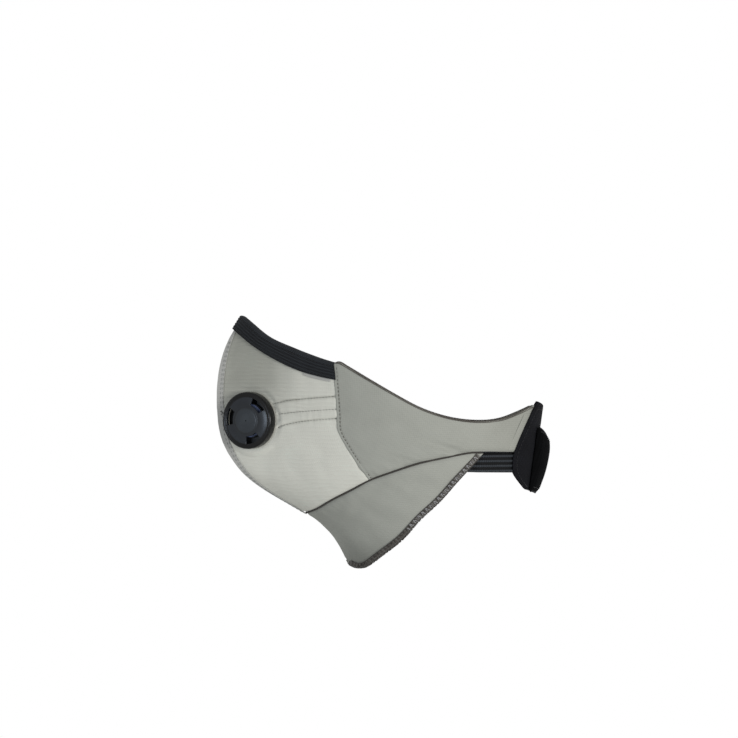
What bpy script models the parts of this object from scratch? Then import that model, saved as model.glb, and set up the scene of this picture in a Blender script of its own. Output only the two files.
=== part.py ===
"""Fabric dust mask with two exhaust valves, shaped as it sits when worn.

The mask front faces -Y, the wearer's left is +X and +Z is up. The origin lies on the
mid plane, under the ears and level with the lips. Design numbers are in millimetres.
"""
import math

import bmesh
import bpy
from mathutils import Matrix, Vector

MM = 0.001

# Thicknesses of the sheets, tapes and clip.
FABRIC = 1.6
TAPE = 0.6
BINDING = 1.0
CLIP = 0.8
FILTER = 1.2
PATCH = 1.0
ELASTIC = 1.2

# Clearances: between solid pieces, between panels that meet at a seam, and between
# sheets that lie over each other. A cup half stops short of the mid plane.
GAP = 0.3
SEAM_GAP = 0.6
LAYER_GAP = 0.9
PANEL_START_X = 1.2

# Steps used to measure a slope of the surface: in turn, and in height.
TURN_STEP = 0.004
RISE_STEP = 0.5

# Centre line of the mask front, as (y, z) from the throat up to the nose bridge.
FRONT_LINE = (
    (-31.0, -84.0), (-39.6, -67.0), (-50.0, -55.0), (-60.2, -47.5), (-87.5, -31.2),
    (-101.6, -19.5), (-113.2, 0.0), (-116.6, 22.0), (-115.4, 45.0), (-110.6, 63.0),
    (-101.0, 81.0),
)
# Horizontal sections: height, then lead angle off the mid plane, lead length,
# half width, y of the widest point, and length of the straight cheek stretch.
SECTIONS = (
    (-84.0, 88.0, 26.0, 54.0, 24.0, 26.0),
    (-60.0, 84.0, 28.0, 57.0, 24.0, 30.0),
    (-45.0, 66.0, 30.0, 59.0, 22.0, 38.0),
    (-30.0, 46.0, 36.0, 61.0, 20.0, 44.0),
    (-12.0, 32.0, 58.0, 63.0, 16.0, 48.0),
    (10.0, 28.5, 76.0, 65.0, 12.0, 48.0),
    (30.0, 28.5, 74.0, 66.0, 8.0, 46.0),
    (50.0, 32.0, 58.0, 65.0, 2.0, 40.0),
    (66.0, 45.0, 34.0, 62.0, -4.0, 36.0),
    (82.0, 70.0, 24.0, 58.0, -8.0, 30.0),
)
NAPE_Y = 88.0
NAPE_LEAN = 0.14
NAPE_ROUND = 0.55

# Seams and edges of the left half, as (y, z) seen from the side.
NOSE_EDGE = ((-102.0, 79.4), (-86.7, 66.4), (-70.3, 58.6), (-54.0, 52.4), (-43.4, 49.2))
BINDING_LOW = ((-107.0, 71.0), (-94.0, 61.0), (-80.0, 52.6), (-65.7, 45.8), (-52.7, 41.8),
               (-43.0, 39.8))
CUP_SEAM = ((-19.5, -25.4), (-27.3, -15.0), (-34.5, -3.9), (-40.0, 6.5), (-40.6, 16.0),
            (-41.2, 26.0), (-42.0, 36.0), (-42.6, 46.8))
SIDE_TOP = ((-42.6, 46.8), (-34.6, 47.4), (-19.5, 39.0), (-2.0, 28.8), (13.0, 20.9),
            (28.0, 15.6), (42.0, 12.9), (55.6, 12.4))
CHIN_SEAM_FRONT = ((-60.2, -47.0), (-54.0, -44.4), (-43.6, -38.1), (-31.5, -31.9),
                   (-19.5, -25.4))
CHIN_SEAM_REAR = ((-19.5, -25.4), (-3.3, -19.5), (13.0, -14.3), (31.2, -10.4),
                  (46.2, -7.8), (55.6, -7.4))
CHIN_HEM = ((-32.6, -80.4), (-27.5, -82.4), (-22.0, -81.6), (-12.4, -74.6), (1.3, -63.6),
            (13.0, -50.6), (25.4, -39.0), (35.8, -27.2), (46.2, -15.8), (51.2, -10.2))
CHIN_TIP = ((51.2, -10.2), (53.2, -8.4))
WING_TOP = ((57.0, 12.4), (65.7, 13.9), (76.0, 17.8), (86.5, 22.8))
WING_LOW = ((57.0, -7.4), (66.0, -7.6), (76.5, -7.8))
WING_END = ((76.5, -7.8), (82.2, 8.0), (86.5, 22.8))
ELASTIC_FRONT = ((47.4, -20.6), (55.0, -8.8))
ELASTIC_TOP_Z = -8.6
ELASTIC_LOW_Z = -20.8
ELASTIC_REAR_Y = 73.6
PATCH_FRONT = ((79.4, -31.6), (73.2, -23.0), (71.5, -17.0), (72.8, -7.0), (83.6, 18.0),
               (87.6, 25.4))
PATCH_TOP_Z = 22.6
PATCH_LOW_Z = -33.6
PATCH_MID_X = 1.2
FILTER_TOP = ((-107.0, 66.0), (-78.0, 47.0), (-50.0, 34.0))
FILTER_LOW = ((-79.0, -33.5), (-54.0, -29.0), (-30.0, -18.0))
FILTER_REAR = ((-30.0, -18.0), (-42.0, -2.0), (-48.0, 14.0), (-50.0, 34.0))

# Front seam tape: heights of its two ends, and half its width.
TAPE_LOW_Z = -45.6
TAPE_HIGH_Z = 68.0
TAPE_HALF = 1.45
TAPE_STEPS = 21

# Nose clip: where its edges lie between the binding's lower and upper edge, and how
# many of the binding's columns it spans on each side.
CLIP_LOW_SHARE = 0.28
CLIP_HIGH_SHARE = 0.88
CLIP_COLUMNS = 11

# Where the cloth bends as the closure is opened, and the clearance at that bend.
BEND_Y = 56.3
BEND_HALF_GAP = 0.7

# Hook tab: reach across the nape from root to round end, heights, and its bow.
TAB_ROOT_X = 17.0
TAB_END_X = -25.0
TAB_ROOT_Z = -12.4
TAB_BLUNT = 0.18
TAB_BOW = 5.6
TAB_BOW_Z = -7.0
TAB_BOW_UP = 17.5
TAB_BOW_DOWN = 30.5
TAB_TILT = 0.13
TAB_HALF_TOP = 21.2
TAB_HALF_LOW = 19.5
TAB_THICK = 1.2
HOOKS_THICK = 1.0
HOOKS_INSET = 2.5
HOOKS_START = 13.0

# Exhaust valve: place of its centre, and its own sizes along its axis.
VALVE_Y = -95.8
VALVE_Z = 13.0
VALVE_FLAT = 20.0
VALVE_FADE = 24.0
CAP_R = 18.5
CAP_TOP = 8.2
CAP_WALL = 1.3
CAP_FACE_R = 8.0
NECK_R = 11.4
NECK_BORE = 10.0
HOLE_R = 11.8
HOLE_REACH = 6.0
SEAT_R = 13.8
NECK_TOP = 3.6
EAR_R = 13.8
EAR_THICK = 0.8
LEDGE_R = 12.0
FLANGE = 1.2
EAR_OVERLAP = 0.6
PIN_R = 1.0
PIN_HEAD_R = 1.7
PIN_TOP = 6.3
HUB_R = 2.6
SPOKE_ANGLES = (30.0, 120.0, 210.0, 300.0)
SPOKE_SPAN = 9.0
FLAP_R = 10.9
FLAP_THICK = 0.6
FLAP_PLAY = 0.35
WINDOW_IN = 10.3
WINDOW_OUT = 15.2
WINDOW_ANGLES = (50.0, 170.0, 290.0)
WINDOW_SPAN = 44.0
LOCK_ANGLES = (0.0, 120.0, 240.0)
LOCK_SPAN = 34.0
ROUND_STEPS = 36

COLOURS = {
    "cup_cloth": (0.48, 0.49, 0.45),
    "side_cloth": (0.32, 0.33, 0.30),
    "trim": (0.02, 0.02, 0.02),
    "tape": (0.45, 0.45, 0.46),
    "metal": (0.80, 0.81, 0.82),
    "filter": (0.82, 0.82, 0.80),
    "plastic": (0.015, 0.015, 0.017),
    "silicone": (0.55, 0.57, 0.58),
}


def clear_scene():
    """Remove every object that the file opened with."""
    for obj in list(bpy.data.objects):
        bpy.data.objects.remove(obj)


def make_material(name, colour, roughness, metallic):
    """A Principled material for one node."""
    material = bpy.data.materials.new(name)
    material.use_nodes = True
    shader = material.node_tree.nodes["Principled BSDF"]
    shader.inputs["Base Color"].default_value = (*colour, 1.0)
    shader.inputs["Roughness"].default_value = roughness
    shader.inputs["Metallic"].default_value = metallic
    return material


def add_object(name, mesh, finish, roughness=0.9, metallic=0.0):
    """Link a mesh as one named node with its own material."""
    obj = bpy.data.objects.new(name, mesh)
    bpy.context.scene.collection.objects.link(obj)
    material = make_material(name, COLOURS[finish], roughness, metallic)
    obj.data.materials.clear()
    obj.data.materials.append(material)
    return obj


# ---- The worn surface -------------------------------------------------------------

def smooth_table(rows, at):
    """Values at a place, from rows of (place, value, ...) joined by smooth cubics."""
    last = len(rows) - 2
    index = 0
    while index < last and at > rows[index + 1][0]:
        index += 1
    here, there = rows[index], rows[index + 1]
    before = rows[max(index - 1, 0)]
    after = rows[min(index + 2, len(rows) - 1)]
    span = there[0] - here[0]
    part = min(max((at - here[0]) / span, 0.0), 1.0)
    values = []
    for column in range(1, len(here)):
        rise_here = (there[column] - before[column]) / (there[0] - before[0]) * span
        rise_there = (after[column] - here[column]) / (after[0] - here[0]) * span
        square = part * part
        cube = square * part
        values.append((2 * cube - 3 * square + 1) * here[column]
                      + (cube - 2 * square + part) * rise_here
                      + (3 * square - 2 * cube) * there[column]
                      + (cube - square) * rise_there)
    return values


def front_y(z):
    """Y of the centre line of the mask front at a height."""
    return smooth_table([(row[1], row[0]) for row in FRONT_LINE], z)[0]


def cubic(ends, part):
    """Point of a cubic Bezier given by its four control points."""
    rest = 1.0 - part
    weights = (rest ** 3, 3 * rest * rest * part, 3 * rest * part * part, part ** 3)
    return [sum(w * p[axis] for w, p in zip(weights, ends)) for axis in range(2)]


def raw_surface(turn, z):
    """Left half before flattening: turn 0 is centre front, 1 the cheek, 2 the nape."""
    angle, lead, half, wide_y, cheek = smooth_table(SECTIONS, z)
    start = (0.0, front_y(z))
    lean = math.radians(angle)
    nape = NAPE_Y + NAPE_LEAN * z
    if turn <= 1.0:
        ends = (start, (lead * math.sin(lean), start[1] + lead * math.cos(lean)),
                (half, wide_y - cheek), (half, wide_y))
        x, y = cubic(ends, turn)
    else:
        reach = NAPE_ROUND * (nape - wide_y)
        ends = ((half, wide_y), (half, wide_y + reach), (NAPE_ROUND * half, nape), (0.0, nape))
        x, y = cubic(ends, turn - 1.0)
    return Vector((x, y, z))


def find_turn(y, z):
    """Turn at which the section at height z passes a given y."""
    low, high = 0.0, 2.0
    for _ in range(40):
        middle = (low + high) / 2
        if raw_surface(middle, z).y < y:
            low = middle
        else:
            high = middle
    return (low + high) / 2


def turn_at_x(x, z, low, high):
    """Turn between low and high, one of them on the mid plane, where x is reached."""
    grows = raw_surface(high, z).x > raw_surface(low, z).x
    for _ in range(40):
        middle = (low + high) / 2
        if (raw_surface(middle, z).x < x) == grows:
            low = middle
        else:
            high = middle
    return (low + high) / 2


def raw_normal(turn, z):
    """Outward normal of the unflattened surface."""
    along = raw_surface(turn + TURN_STEP, z) - raw_surface(max(turn - TURN_STEP, 0.0), z)
    up = raw_surface(turn, z + RISE_STEP) - raw_surface(turn, z - RISE_STEP)
    return along.cross(up).normalized()


def valve_frame():
    """Centre and outward axis of the left valve."""
    turn = find_turn(VALVE_Y, VALVE_Z)
    return raw_surface(turn, VALVE_Z), raw_normal(turn, VALVE_Z)


VALVE_CENTRE, VALVE_AXIS = valve_frame()


def surface(turn, z):
    """Left half of the worn surface, drawn flat under the valve."""
    point = raw_surface(turn, z)
    away = point - VALVE_CENTRE
    height = away.dot(VALVE_AXIS)
    radius = (away - VALVE_AXIS * height).length
    fade = min(max((VALVE_FADE - radius) / (VALVE_FADE - VALVE_FLAT), 0.0), 1.0)
    return point - VALVE_AXIS * height * fade * fade * (3.0 - 2.0 * fade)


def offset_point(turn, z, height):
    """Point at a height over the surface; on the mid plane it is mitred."""
    along = surface(turn + TURN_STEP, z) - surface(max(turn - TURN_STEP, 0.0), z)
    up = surface(turn, z + RISE_STEP) - surface(turn, z - RISE_STEP)
    normal = along.cross(up).normalized()
    point = surface(turn, z)
    if turn > 0.0:
        return point + normal * height
    flat = Vector((0.0, normal.y, normal.z))
    mitre = min(1.0 / flat.length, 2.0)
    return Vector((0.0, point.y, point.z)) + flat.normalized() * height * mitre


# ---- Outlines and patches -----------------------------------------------------------

def curve_points(points, count):
    """Evenly spaced points along a smooth curve through (y, z) points."""
    lengths = [0.0]
    for before, after in zip(points, points[1:]):
        lengths.append(lengths[-1] + math.dist(before, after))
    rows = [(place, *point) for place, point in zip(lengths, points)]
    if len(rows) == 2:
        middle = [(a + b) / 2 for a, b in zip(rows[0], rows[1])]
        rows.insert(1, tuple(middle))
    total = lengths[-1]
    return [smooth_table(rows, total * index / (count - 1)) for index in range(count)]


def on_surface(points, count, shift=(0.0, 0.0)):
    """A (y, z) outline as evenly spaced (turn, z) places on the surface."""
    places = []
    for y, z in curve_points(points, count):
        places.append((find_turn(y + shift[0], z + shift[1]), z + shift[1]))
    return places


def centre_edge(z_low, z_high, count, x):
    """The front edge of a panel that stops x short of the mid plane."""
    places = []
    for index in range(count):
        z = z_low + (z_high - z_low) * index / (count - 1)
        places.append((turn_at_x(x, z, 0.0, 0.5) if x > 0 else 0.0, z))
    return places


def nape_edge(z_low, z_high, count, x):
    """The rear edge of a piece that stops x short of the mid plane at the nape."""
    places = []
    for index in range(count):
        z = z_low + (z_high - z_low) * index / (count - 1)
        places.append((turn_at_x(x, z, 1.5, 2.0), z))
    return places


def coons_grid(front, rear, low, high):
    """Grid of (turn, z) places inside four edges; columns run front to rear."""
    columns, rows = len(low), len(front)
    grid = []
    for i in range(columns):
        u = i / (columns - 1)
        line = []
        for j in range(rows):
            v = j / (rows - 1)
            place = []
            for axis in range(2):
                across = (1 - v) * low[i][axis] + v * high[i][axis]
                along = (1 - u) * front[j][axis] + u * rear[j][axis]
                corners = ((1 - u) * (1 - v) * low[0][axis] + u * (1 - v) * low[-1][axis]
                           + (1 - u) * v * high[0][axis] + u * v * high[-1][axis])
                place.append(across + along - corners)
            line.append(tuple(place))
        grid.append(line)
    return grid


def strip_grid(low, high, rows):
    """Grid of places on a band between a lower and an upper edge."""
    grid = []
    for below, above in zip(low, high):
        line = []
        for j in range(rows):
            v = j / (rows - 1)
            line.append(tuple((1 - v) * a + v * b for a, b in zip(below, above)))
        grid.append(line)
    return grid


def shell_mesh(name, inner, outer):
    """Closed thin solid between two equal grids of points in millimetres."""
    mesh = bpy.data.meshes.new(name)
    work = bmesh.new()
    layers = []
    for grid in (inner, outer):
        layers.append([[work.verts.new(point * MM) for point in line] for line in grid])
    columns, rows = len(inner), len(inner[0])
    for layer in layers:
        for i in range(columns - 1):
            for j in range(rows - 1):
                work.faces.new((layer[i][j], layer[i + 1][j], layer[i + 1][j + 1],
                                layer[i][j + 1]))
    rim = [(i, 0) for i in range(columns)]
    rim += [(columns - 1, j) for j in range(1, rows)]
    rim += [(i, rows - 1) for i in range(columns - 2, -1, -1)]
    rim += [(0, j) for j in range(rows - 2, 0, -1)]
    for here, there in zip(rim, rim[1:] + rim[:1]):
        work.faces.new((layers[0][here[0]][here[1]], layers[0][there[0]][there[1]],
                        layers[1][there[0]][there[1]], layers[1][here[0]][here[1]]))
    bmesh.ops.recalc_face_normals(work, faces=work.faces)
    work.to_mesh(mesh)
    work.free()
    mesh.shade_smooth()
    mesh.set_sharp_from_angle(angle=math.radians(40))
    return mesh


def one_side(grid, side, height):
    """Points of one half's grid at a height over the surface."""
    points = []
    for line in grid:
        lifted = [offset_point(turn, z, height) for turn, z in line]
        points.append([Vector((p.x * side, p.y, p.z)) for p in lifted])
    return points


def both_sides(grid, height):
    """Points of a grid that starts on the mid plane, carried on to the other half."""
    left = one_side(grid, 1, height)
    right = one_side(grid, -1, height)
    return list(reversed(right[1:])) + left


def side_panel_mesh(name, grid, side, low, high):
    """Solid of one half's panel between two heights over the surface."""
    return shell_mesh(name, one_side(grid, side, low), one_side(grid, side, high))


def crossing_mesh(name, grid, low, high):
    """Solid of a piece that crosses the mid plane."""
    return shell_mesh(name, both_sides(grid, low), both_sides(grid, high))


# ---- Cutting and joining ------------------------------------------------------------

def guide_object(name, mesh, matrix):
    """A hidden object that a Boolean uses."""
    obj = bpy.data.objects.new(name, mesh)
    bpy.context.scene.collection.objects.link(obj)
    obj.matrix_world = matrix
    obj.hide_render = True
    obj.display_type = "WIRE"
    return obj


def add_boolean(obj, other, operation):
    """Cut or join another object by an exact Boolean."""
    boolean = obj.modifiers.new(operation.lower(), "BOOLEAN")
    boolean.operation = operation
    boolean.solver = "EXACT"
    boolean.object = other


def baked(obj):
    """The object's mesh with its modifiers applied."""
    bpy.context.view_layer.update()
    graph = bpy.context.evaluated_depsgraph_get()
    return bpy.data.meshes.new_from_object(obj.evaluated_get(graph))


def lathe_mesh(name, profile, steps=ROUND_STEPS):
    """Closed solid turned about local Z from (radius, height) points, base first."""
    work = bmesh.new()
    rings = []
    for radius, height in profile:
        if radius < 0.001:
            rings.append([work.verts.new((0.0, 0.0, height * MM))])
            continue
        ring = []
        for step in range(steps):
            angle = 2 * math.pi * step / steps
            ring.append(work.verts.new((radius * MM * math.cos(angle),
                                        radius * MM * math.sin(angle), height * MM)))
        rings.append(ring)
    for here, there in zip(rings, rings[1:] + rings[:1]):
        if len(here) == 1 and len(there) == 1:
            continue
        for step in range(steps):
            following = (step + 1) % steps
            corners = [here[step % len(here)], here[following % len(here)],
                       there[following % len(there)], there[step % len(there)]]
            work.faces.new(list(dict.fromkeys(corners)))
    bmesh.ops.recalc_face_normals(work, faces=work.faces)
    mesh = bpy.data.meshes.new(name)
    work.to_mesh(mesh)
    work.free()
    return mesh


def sector_mesh(name, radii, heights, angles, span, steps=6):
    """Blocks cut from a ring: one block at each angle, all in one mesh."""
    work = bmesh.new()
    for centre in angles:
        rings = []
        for step in range(steps + 1):
            angle = math.radians(centre - span / 2 + span * step / steps)
            ring = []
            for radius, height in ((radii[0], heights[0]), (radii[1], heights[0]),
                                   (radii[1], heights[1]), (radii[0], heights[1])):
                ring.append(work.verts.new((radius * MM * math.cos(angle),
                                            radius * MM * math.sin(angle), height * MM)))
            rings.append(ring)
        for here, there in zip(rings, rings[1:]):
            for corner in range(4):
                following = (corner + 1) % 4
                work.faces.new((here[corner], here[following], there[following],
                                there[corner]))
        work.faces.new(rings[0])
        work.faces.new(list(reversed(rings[-1])))
    bmesh.ops.recalc_face_normals(work, faces=work.faces)
    mesh = bpy.data.meshes.new(name)
    work.to_mesh(mesh)
    work.free()
    return mesh


# ---- Valves ----------------------------------------------------------------------------

def valve_matrix(side):
    """World placement of a valve: local Z is its axis, local Y points up."""
    centre = Vector((VALVE_CENTRE.x * side, VALVE_CENTRE.y, VALVE_CENTRE.z)) * MM
    axis = Vector((VALVE_AXIS.x * side, VALVE_AXIS.y, VALVE_AXIS.z))
    across = Vector((0.0, 0.0, 1.0)).cross(axis).normalized()
    upward = axis.cross(across)
    turned = Matrix((across, upward, axis)).transposed()
    return Matrix.Translation(centre) @ turned.to_4x4()


def cap_mesh():
    """Outer cover: rimmed disc with exhaust windows and three locking ledges."""
    foot = FABRIC / 2 + 2 * GAP
    rim = CAP_TOP - 1.6
    profile = ((CAP_R, foot), (CAP_R, rim), (CAP_R - 0.6, CAP_TOP - 0.7),
               (CAP_R - 1.8, CAP_TOP - 0.5), (CAP_R - 2.6, CAP_TOP - 1.0),
               (CAP_R - 4.6, CAP_TOP - 0.5), (CAP_FACE_R, CAP_TOP), (0.0, CAP_TOP),
               (0.0, CAP_TOP - 1.6), (CAP_R - 4.6, CAP_TOP - 2.2),
               (CAP_R - CAP_WALL, CAP_TOP - 3.0), (CAP_R - CAP_WALL, foot))
    cap = guide_object("cap_form", lathe_mesh("cap_form", profile), Matrix())
    ledges = guide_object("cap_ledges", sector_mesh(
        "cap_ledges", (LEDGE_R, CAP_R - CAP_WALL / 2),
        (foot, NECK_TOP - EAR_THICK - GAP), LOCK_ANGLES, LOCK_SPAN), Matrix())
    windows = guide_object("cap_windows", sector_mesh(
        "cap_windows", (WINDOW_IN, WINDOW_OUT), (CAP_TOP - 4.0, CAP_TOP + 1.0),
        WINDOW_ANGLES, WINDOW_SPAN), Matrix())
    add_boolean(cap, ledges, "UNION")
    add_boolean(cap, windows, "DIFFERENCE")
    return baked(cap)


def seat_mesh():
    """Inner half: clamping flange, neck with locking ears, spokes and centre pin."""
    base = -FABRIC / 2 - LAYER_GAP - GAP - FILTER
    profile = ((NECK_BORE, base - FLANGE), (SEAT_R, base - FLANGE), (SEAT_R, base),
               (NECK_R, base), (NECK_R, NECK_TOP), (NECK_BORE, NECK_TOP))
    seat = guide_object("seat_form", lathe_mesh("seat_form", profile), Matrix())
    ears = guide_object("seat_ears", sector_mesh(
        "seat_ears", (NECK_R - EAR_OVERLAP, EAR_R), (NECK_TOP - EAR_THICK, NECK_TOP - 0.05),
        LOCK_ANGLES, LOCK_SPAN), Matrix())
    spokes = guide_object("seat_spokes", sector_mesh(
        "seat_spokes", (PIN_R / 2, NECK_BORE + EAR_OVERLAP),
        (NECK_TOP - 2.2, NECK_TOP - 0.4), SPOKE_ANGLES, SPOKE_SPAN, steps=2), Matrix())
    pin_profile = ((0.0, NECK_TOP - 2.4), (HUB_R, NECK_TOP - 2.4), (HUB_R, NECK_TOP - 0.2),
                   (PIN_R, NECK_TOP - 0.2), (PIN_R, PIN_TOP - 0.6),
                   (PIN_HEAD_R, PIN_TOP - 0.5), (PIN_HEAD_R - 0.3, PIN_TOP),
                   (0.0, PIN_TOP))
    pin = guide_object("seat_pin", lathe_mesh("seat_pin", pin_profile, 16), Matrix())
    for other in (ears, spokes, pin):
        add_boolean(seat, other, "UNION")
    return baked(seat)


def flap_mesh():
    """Silicone disc that lies on the neck and lifts as the wearer breathes out."""
    low = NECK_TOP + GAP
    high = low + FLAP_THICK
    hole = PIN_R + FLAP_PLAY
    return lathe_mesh("flap", ((hole, low), (FLAP_R, low), (FLAP_R, high), (hole, high)))


def build_valves():
    """The three pieces of each valve, parented to an empty on the valve's axis."""
    meshes = {"cap": cap_mesh(), "seat": seat_mesh(), "flap": flap_mesh()}
    for guide in [o for o in bpy.data.objects if o.hide_render]:
        bpy.data.objects.remove(guide)
    looks = {"cap": ("plastic", 0.3), "seat": ("plastic", 0.45), "flap": ("silicone", 0.5)}
    for side, word in ((1, "left"), (-1, "right")):
        axis = bpy.data.objects.new("valve_axis_" + word, None)
        bpy.context.scene.collection.objects.link(axis)
        axis.matrix_world = valve_matrix(side)
        for piece, mesh in meshes.items():
            copy = mesh.copy()
            copy.shade_smooth()
            copy.set_sharp_from_angle(angle=math.radians(35))
            finish, roughness = looks[piece]
            obj = add_object("valve_%s_%s" % (piece, word), copy, finish, roughness)
            obj.parent = axis


# ---- Cloth panels ----------------------------------------------------------------------

def cup_grid(columns=16, rows=14):
    """Front cup half, from the centre seam back to the side panel."""
    half = SEAM_GAP / 2
    top = [(max(turn, 0.0), z - 0.5) for turn, z in on_surface(NOSE_EDGE, columns)]
    low = on_surface(CHIN_SEAM_FRONT, columns, (0.0, half))
    rear = on_surface(CUP_SEAM[:-1] + ((-43.4, 48.7),), rows, (-half, 0.0))
    front = centre_edge(low[0][1], top[0][1], rows, PANEL_START_X)
    top[0], low[0] = front[-1], front[0]
    top[-1], low[-1] = rear[-1], rear[0]
    return coons_grid(front, rear, low, top)


def side_grid(columns=17, rows=8):
    """Fixed part of the side panel, from the cup seam to the bend."""
    half = SEAM_GAP / 2
    top = on_surface(SIDE_TOP, columns)
    low = on_surface(CHIN_SEAM_REAR, columns, (0.0, half))
    front = on_surface(CUP_SEAM, rows, (half, 0.0))
    rear = on_surface((CHIN_SEAM_REAR[-1], SIDE_TOP[-1]), rows)
    top[0], low[0] = front[-1], front[0]
    top[-1], low[-1] = rear[-1], rear[0]
    return coons_grid(front, rear, low, top)


def chin_grid(columns=18, rows=8):
    """Half of the chin panel, from the mid plane to its rear tip."""
    half = SEAM_GAP / 2
    tip = CHIN_TIP[-1]
    seam = CHIN_SEAM_FRONT + CHIN_SEAM_REAR[1:-2] + (tip,)
    top = on_surface(seam, columns, (0.0, -half))
    low = on_surface(CHIN_HEM, columns)
    front = centre_edge(low[0][1], top[0][1], rows, 0.0)
    rear = on_surface((CHIN_HEM[-1], tip), rows, (0.0, -half))
    top[0], low[0] = front[-1], front[0]
    top[-1], low[-1] = rear[-1], rear[0]
    return coons_grid(front, rear, low, top)


def filter_grid(columns=11, rows=10):
    """Half of the filter, a smaller sheet inside the cup."""
    top = on_surface(FILTER_TOP, columns)
    low = on_surface(FILTER_LOW, columns)
    rear = on_surface(FILTER_REAR, rows)
    front = centre_edge(low[0][1], top[0][1], rows, 0.0)
    top[0], low[0] = front[-1], front[0]
    top[-1], low[-1] = rear[-1], rear[0]
    return coons_grid(front, rear, low, top)


def wing_grid(columns=9, rows=6):
    """Cloth of the rear wing, from the bend to where the end patch covers it."""
    top = on_surface(WING_TOP, columns)
    low = on_surface(WING_LOW, columns)
    front = on_surface((WING_LOW[0], WING_TOP[0]), rows)
    rear = on_surface(WING_END, rows)
    return coons_grid(front, rear, low, top)


def patch_grid(columns=7, rows=11):
    """Black reinforcement at the end of a wing, up to the mid plane at the nape."""
    front = on_surface(PATCH_FRONT, rows)
    rear = nape_edge(PATCH_LOW_Z, PATCH_TOP_Z, rows, PATCH_MID_X)
    low = [tuple(a + (b - a) * i / (columns - 1) for a, b in zip(front[0], rear[0]))
           for i in range(columns)]
    top = [tuple(a + (b - a) * i / (columns - 1) for a, b in zip(front[-1], rear[-1]))
           for i in range(columns)]
    return coons_grid(front, rear, low, top)


def build_cloth():
    """Cup, side, chin and wing panels with their seams, binding, clip and filter."""
    half = FABRIC / 2
    reach = FABRIC + LAYER_GAP + FILTER + HOLE_REACH
    hole = guide_object("valve_hole", lathe_mesh(
        "valve_hole", ((0.0, -reach), (HOLE_R, -reach), (HOLE_R, HOLE_REACH),
                       (0.0, HOLE_REACH))), valve_matrix(1))
    hole_right = guide_object("valve_hole_right", hole.data, valve_matrix(-1))
    grids = (("cup_panel", cup_grid(), "cup_cloth"), ("side_panel", side_grid(), "side_cloth"),
             ("rear_wing", wing_grid(), "side_cloth"))
    for side, word, cutter in ((1, "left", hole), (-1, "right", hole_right)):
        for piece, grid, finish in grids:
            name = "%s_%s" % (piece, word)
            obj = add_object(name, side_panel_mesh(name, grid, side, -half, half), finish)
            if piece == "cup_panel":
                add_boolean(obj, cutter, "DIFFERENCE")
    add_object("chin_panel", crossing_mesh("chin_panel", chin_grid(), -half, half),
               "side_cloth")
    inner = -half - LAYER_GAP
    filter_sheet = add_object("filter", crossing_mesh("filter", filter_grid(),
                                                      inner - FILTER, inner), "filter")
    add_boolean(filter_sheet, hole, "DIFFERENCE")
    add_boolean(filter_sheet, hole_right, "DIFFERENCE")


def build_tape():
    """Flat tape over the seam between the two cup halves."""
    outer = FABRIC / 2 + LAYER_GAP / 2
    rise = (TAPE_HIGH_Z - TAPE_LOW_Z) / TAPE_STEPS
    heights = [TAPE_LOW_Z + rise * index for index in range(TAPE_STEPS + 1)]
    edge = [(turn_at_x(TAPE_HALF, z, 0.0, 0.5), z) for z in heights]
    columns = strip_grid([(0.0, z) for z in heights], edge, 3)
    grid = [list(line) for line in zip(*columns)]
    tape = crossing_mesh("front_seam_tape", grid, outer, outer + TAPE)
    add_object("front_seam_tape", tape, "tape")


def build_nose():
    """Elastic binding along the nose edge, and the metal clip inside it."""
    outer = FABRIC / 2 + LAYER_GAP * 0.8
    low = on_surface(BINDING_LOW, 16)
    high = on_surface(NOSE_EDGE, 16)
    low[0], high[0] = (0.0, low[0][1]), (0.0, high[0][1])
    binding = crossing_mesh("nose_binding", strip_grid(low, high, 3), outer, outer + BINDING)
    add_object("nose_binding", binding, "trim")
    edges = []
    for share in (CLIP_LOW_SHARE, CLIP_HIGH_SHARE):
        edges.append([tuple((1 - share) * a + share * b for a, b in zip(below, above))
                      for below, above in zip(low[:CLIP_COLUMNS], high[:CLIP_COLUMNS])])
    inner = -FABRIC / 2 - LAYER_GAP
    clip = crossing_mesh("nose_clip", strip_grid(*edges, 2), inner - CLIP, inner)
    add_object("nose_clip", clip, "metal", 0.4, 1.0)


def build_elastic(side, word):
    """Ribbed elastic from the chin panel's corner to the end patch, cut at the bend."""
    half = ELASTIC / 2
    heights = (ELASTIC_LOW_Z, ELASTIC_TOP_Z)
    spans = (("elastic_end", ELASTIC_FRONT, BEND_Y - BEND_HALF_GAP, 3),
             ("rear_elastic", None, ELASTIC_REAR_Y, 7))
    for piece, slant, rear_y, columns in spans:
        edges = []
        for row, z in enumerate(heights):
            start = slant[row][0] if slant else BEND_Y + BEND_HALF_GAP
            edges.append(on_surface(((start, z), (rear_y, z)), columns))
        name = "%s_%s" % (piece, word)
        add_object(name, side_panel_mesh(name, strip_grid(*edges, 3), side, -half, half),
                   "trim", 0.8)


def tab_height(x, inset):
    """Lowest and highest z of the round-ended tab at an x across the nape."""
    part = min(max((TAB_ROOT_X - x) / (TAB_ROOT_X - TAB_END_X - inset), 0.0), 1.0)
    middle = TAB_ROOT_Z - TAB_TILT * (TAB_ROOT_X - x)
    upper = max((1.0 - part ** 1.6) ** (1.0 / 1.6), TAB_BLUNT)
    lower = max((1.0 - part ** 2.6) ** (1.0 / 2.6), TAB_BLUNT)
    return middle - (TAB_HALF_LOW - inset) * lower, middle + (TAB_HALF_TOP - inset) * upper


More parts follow.
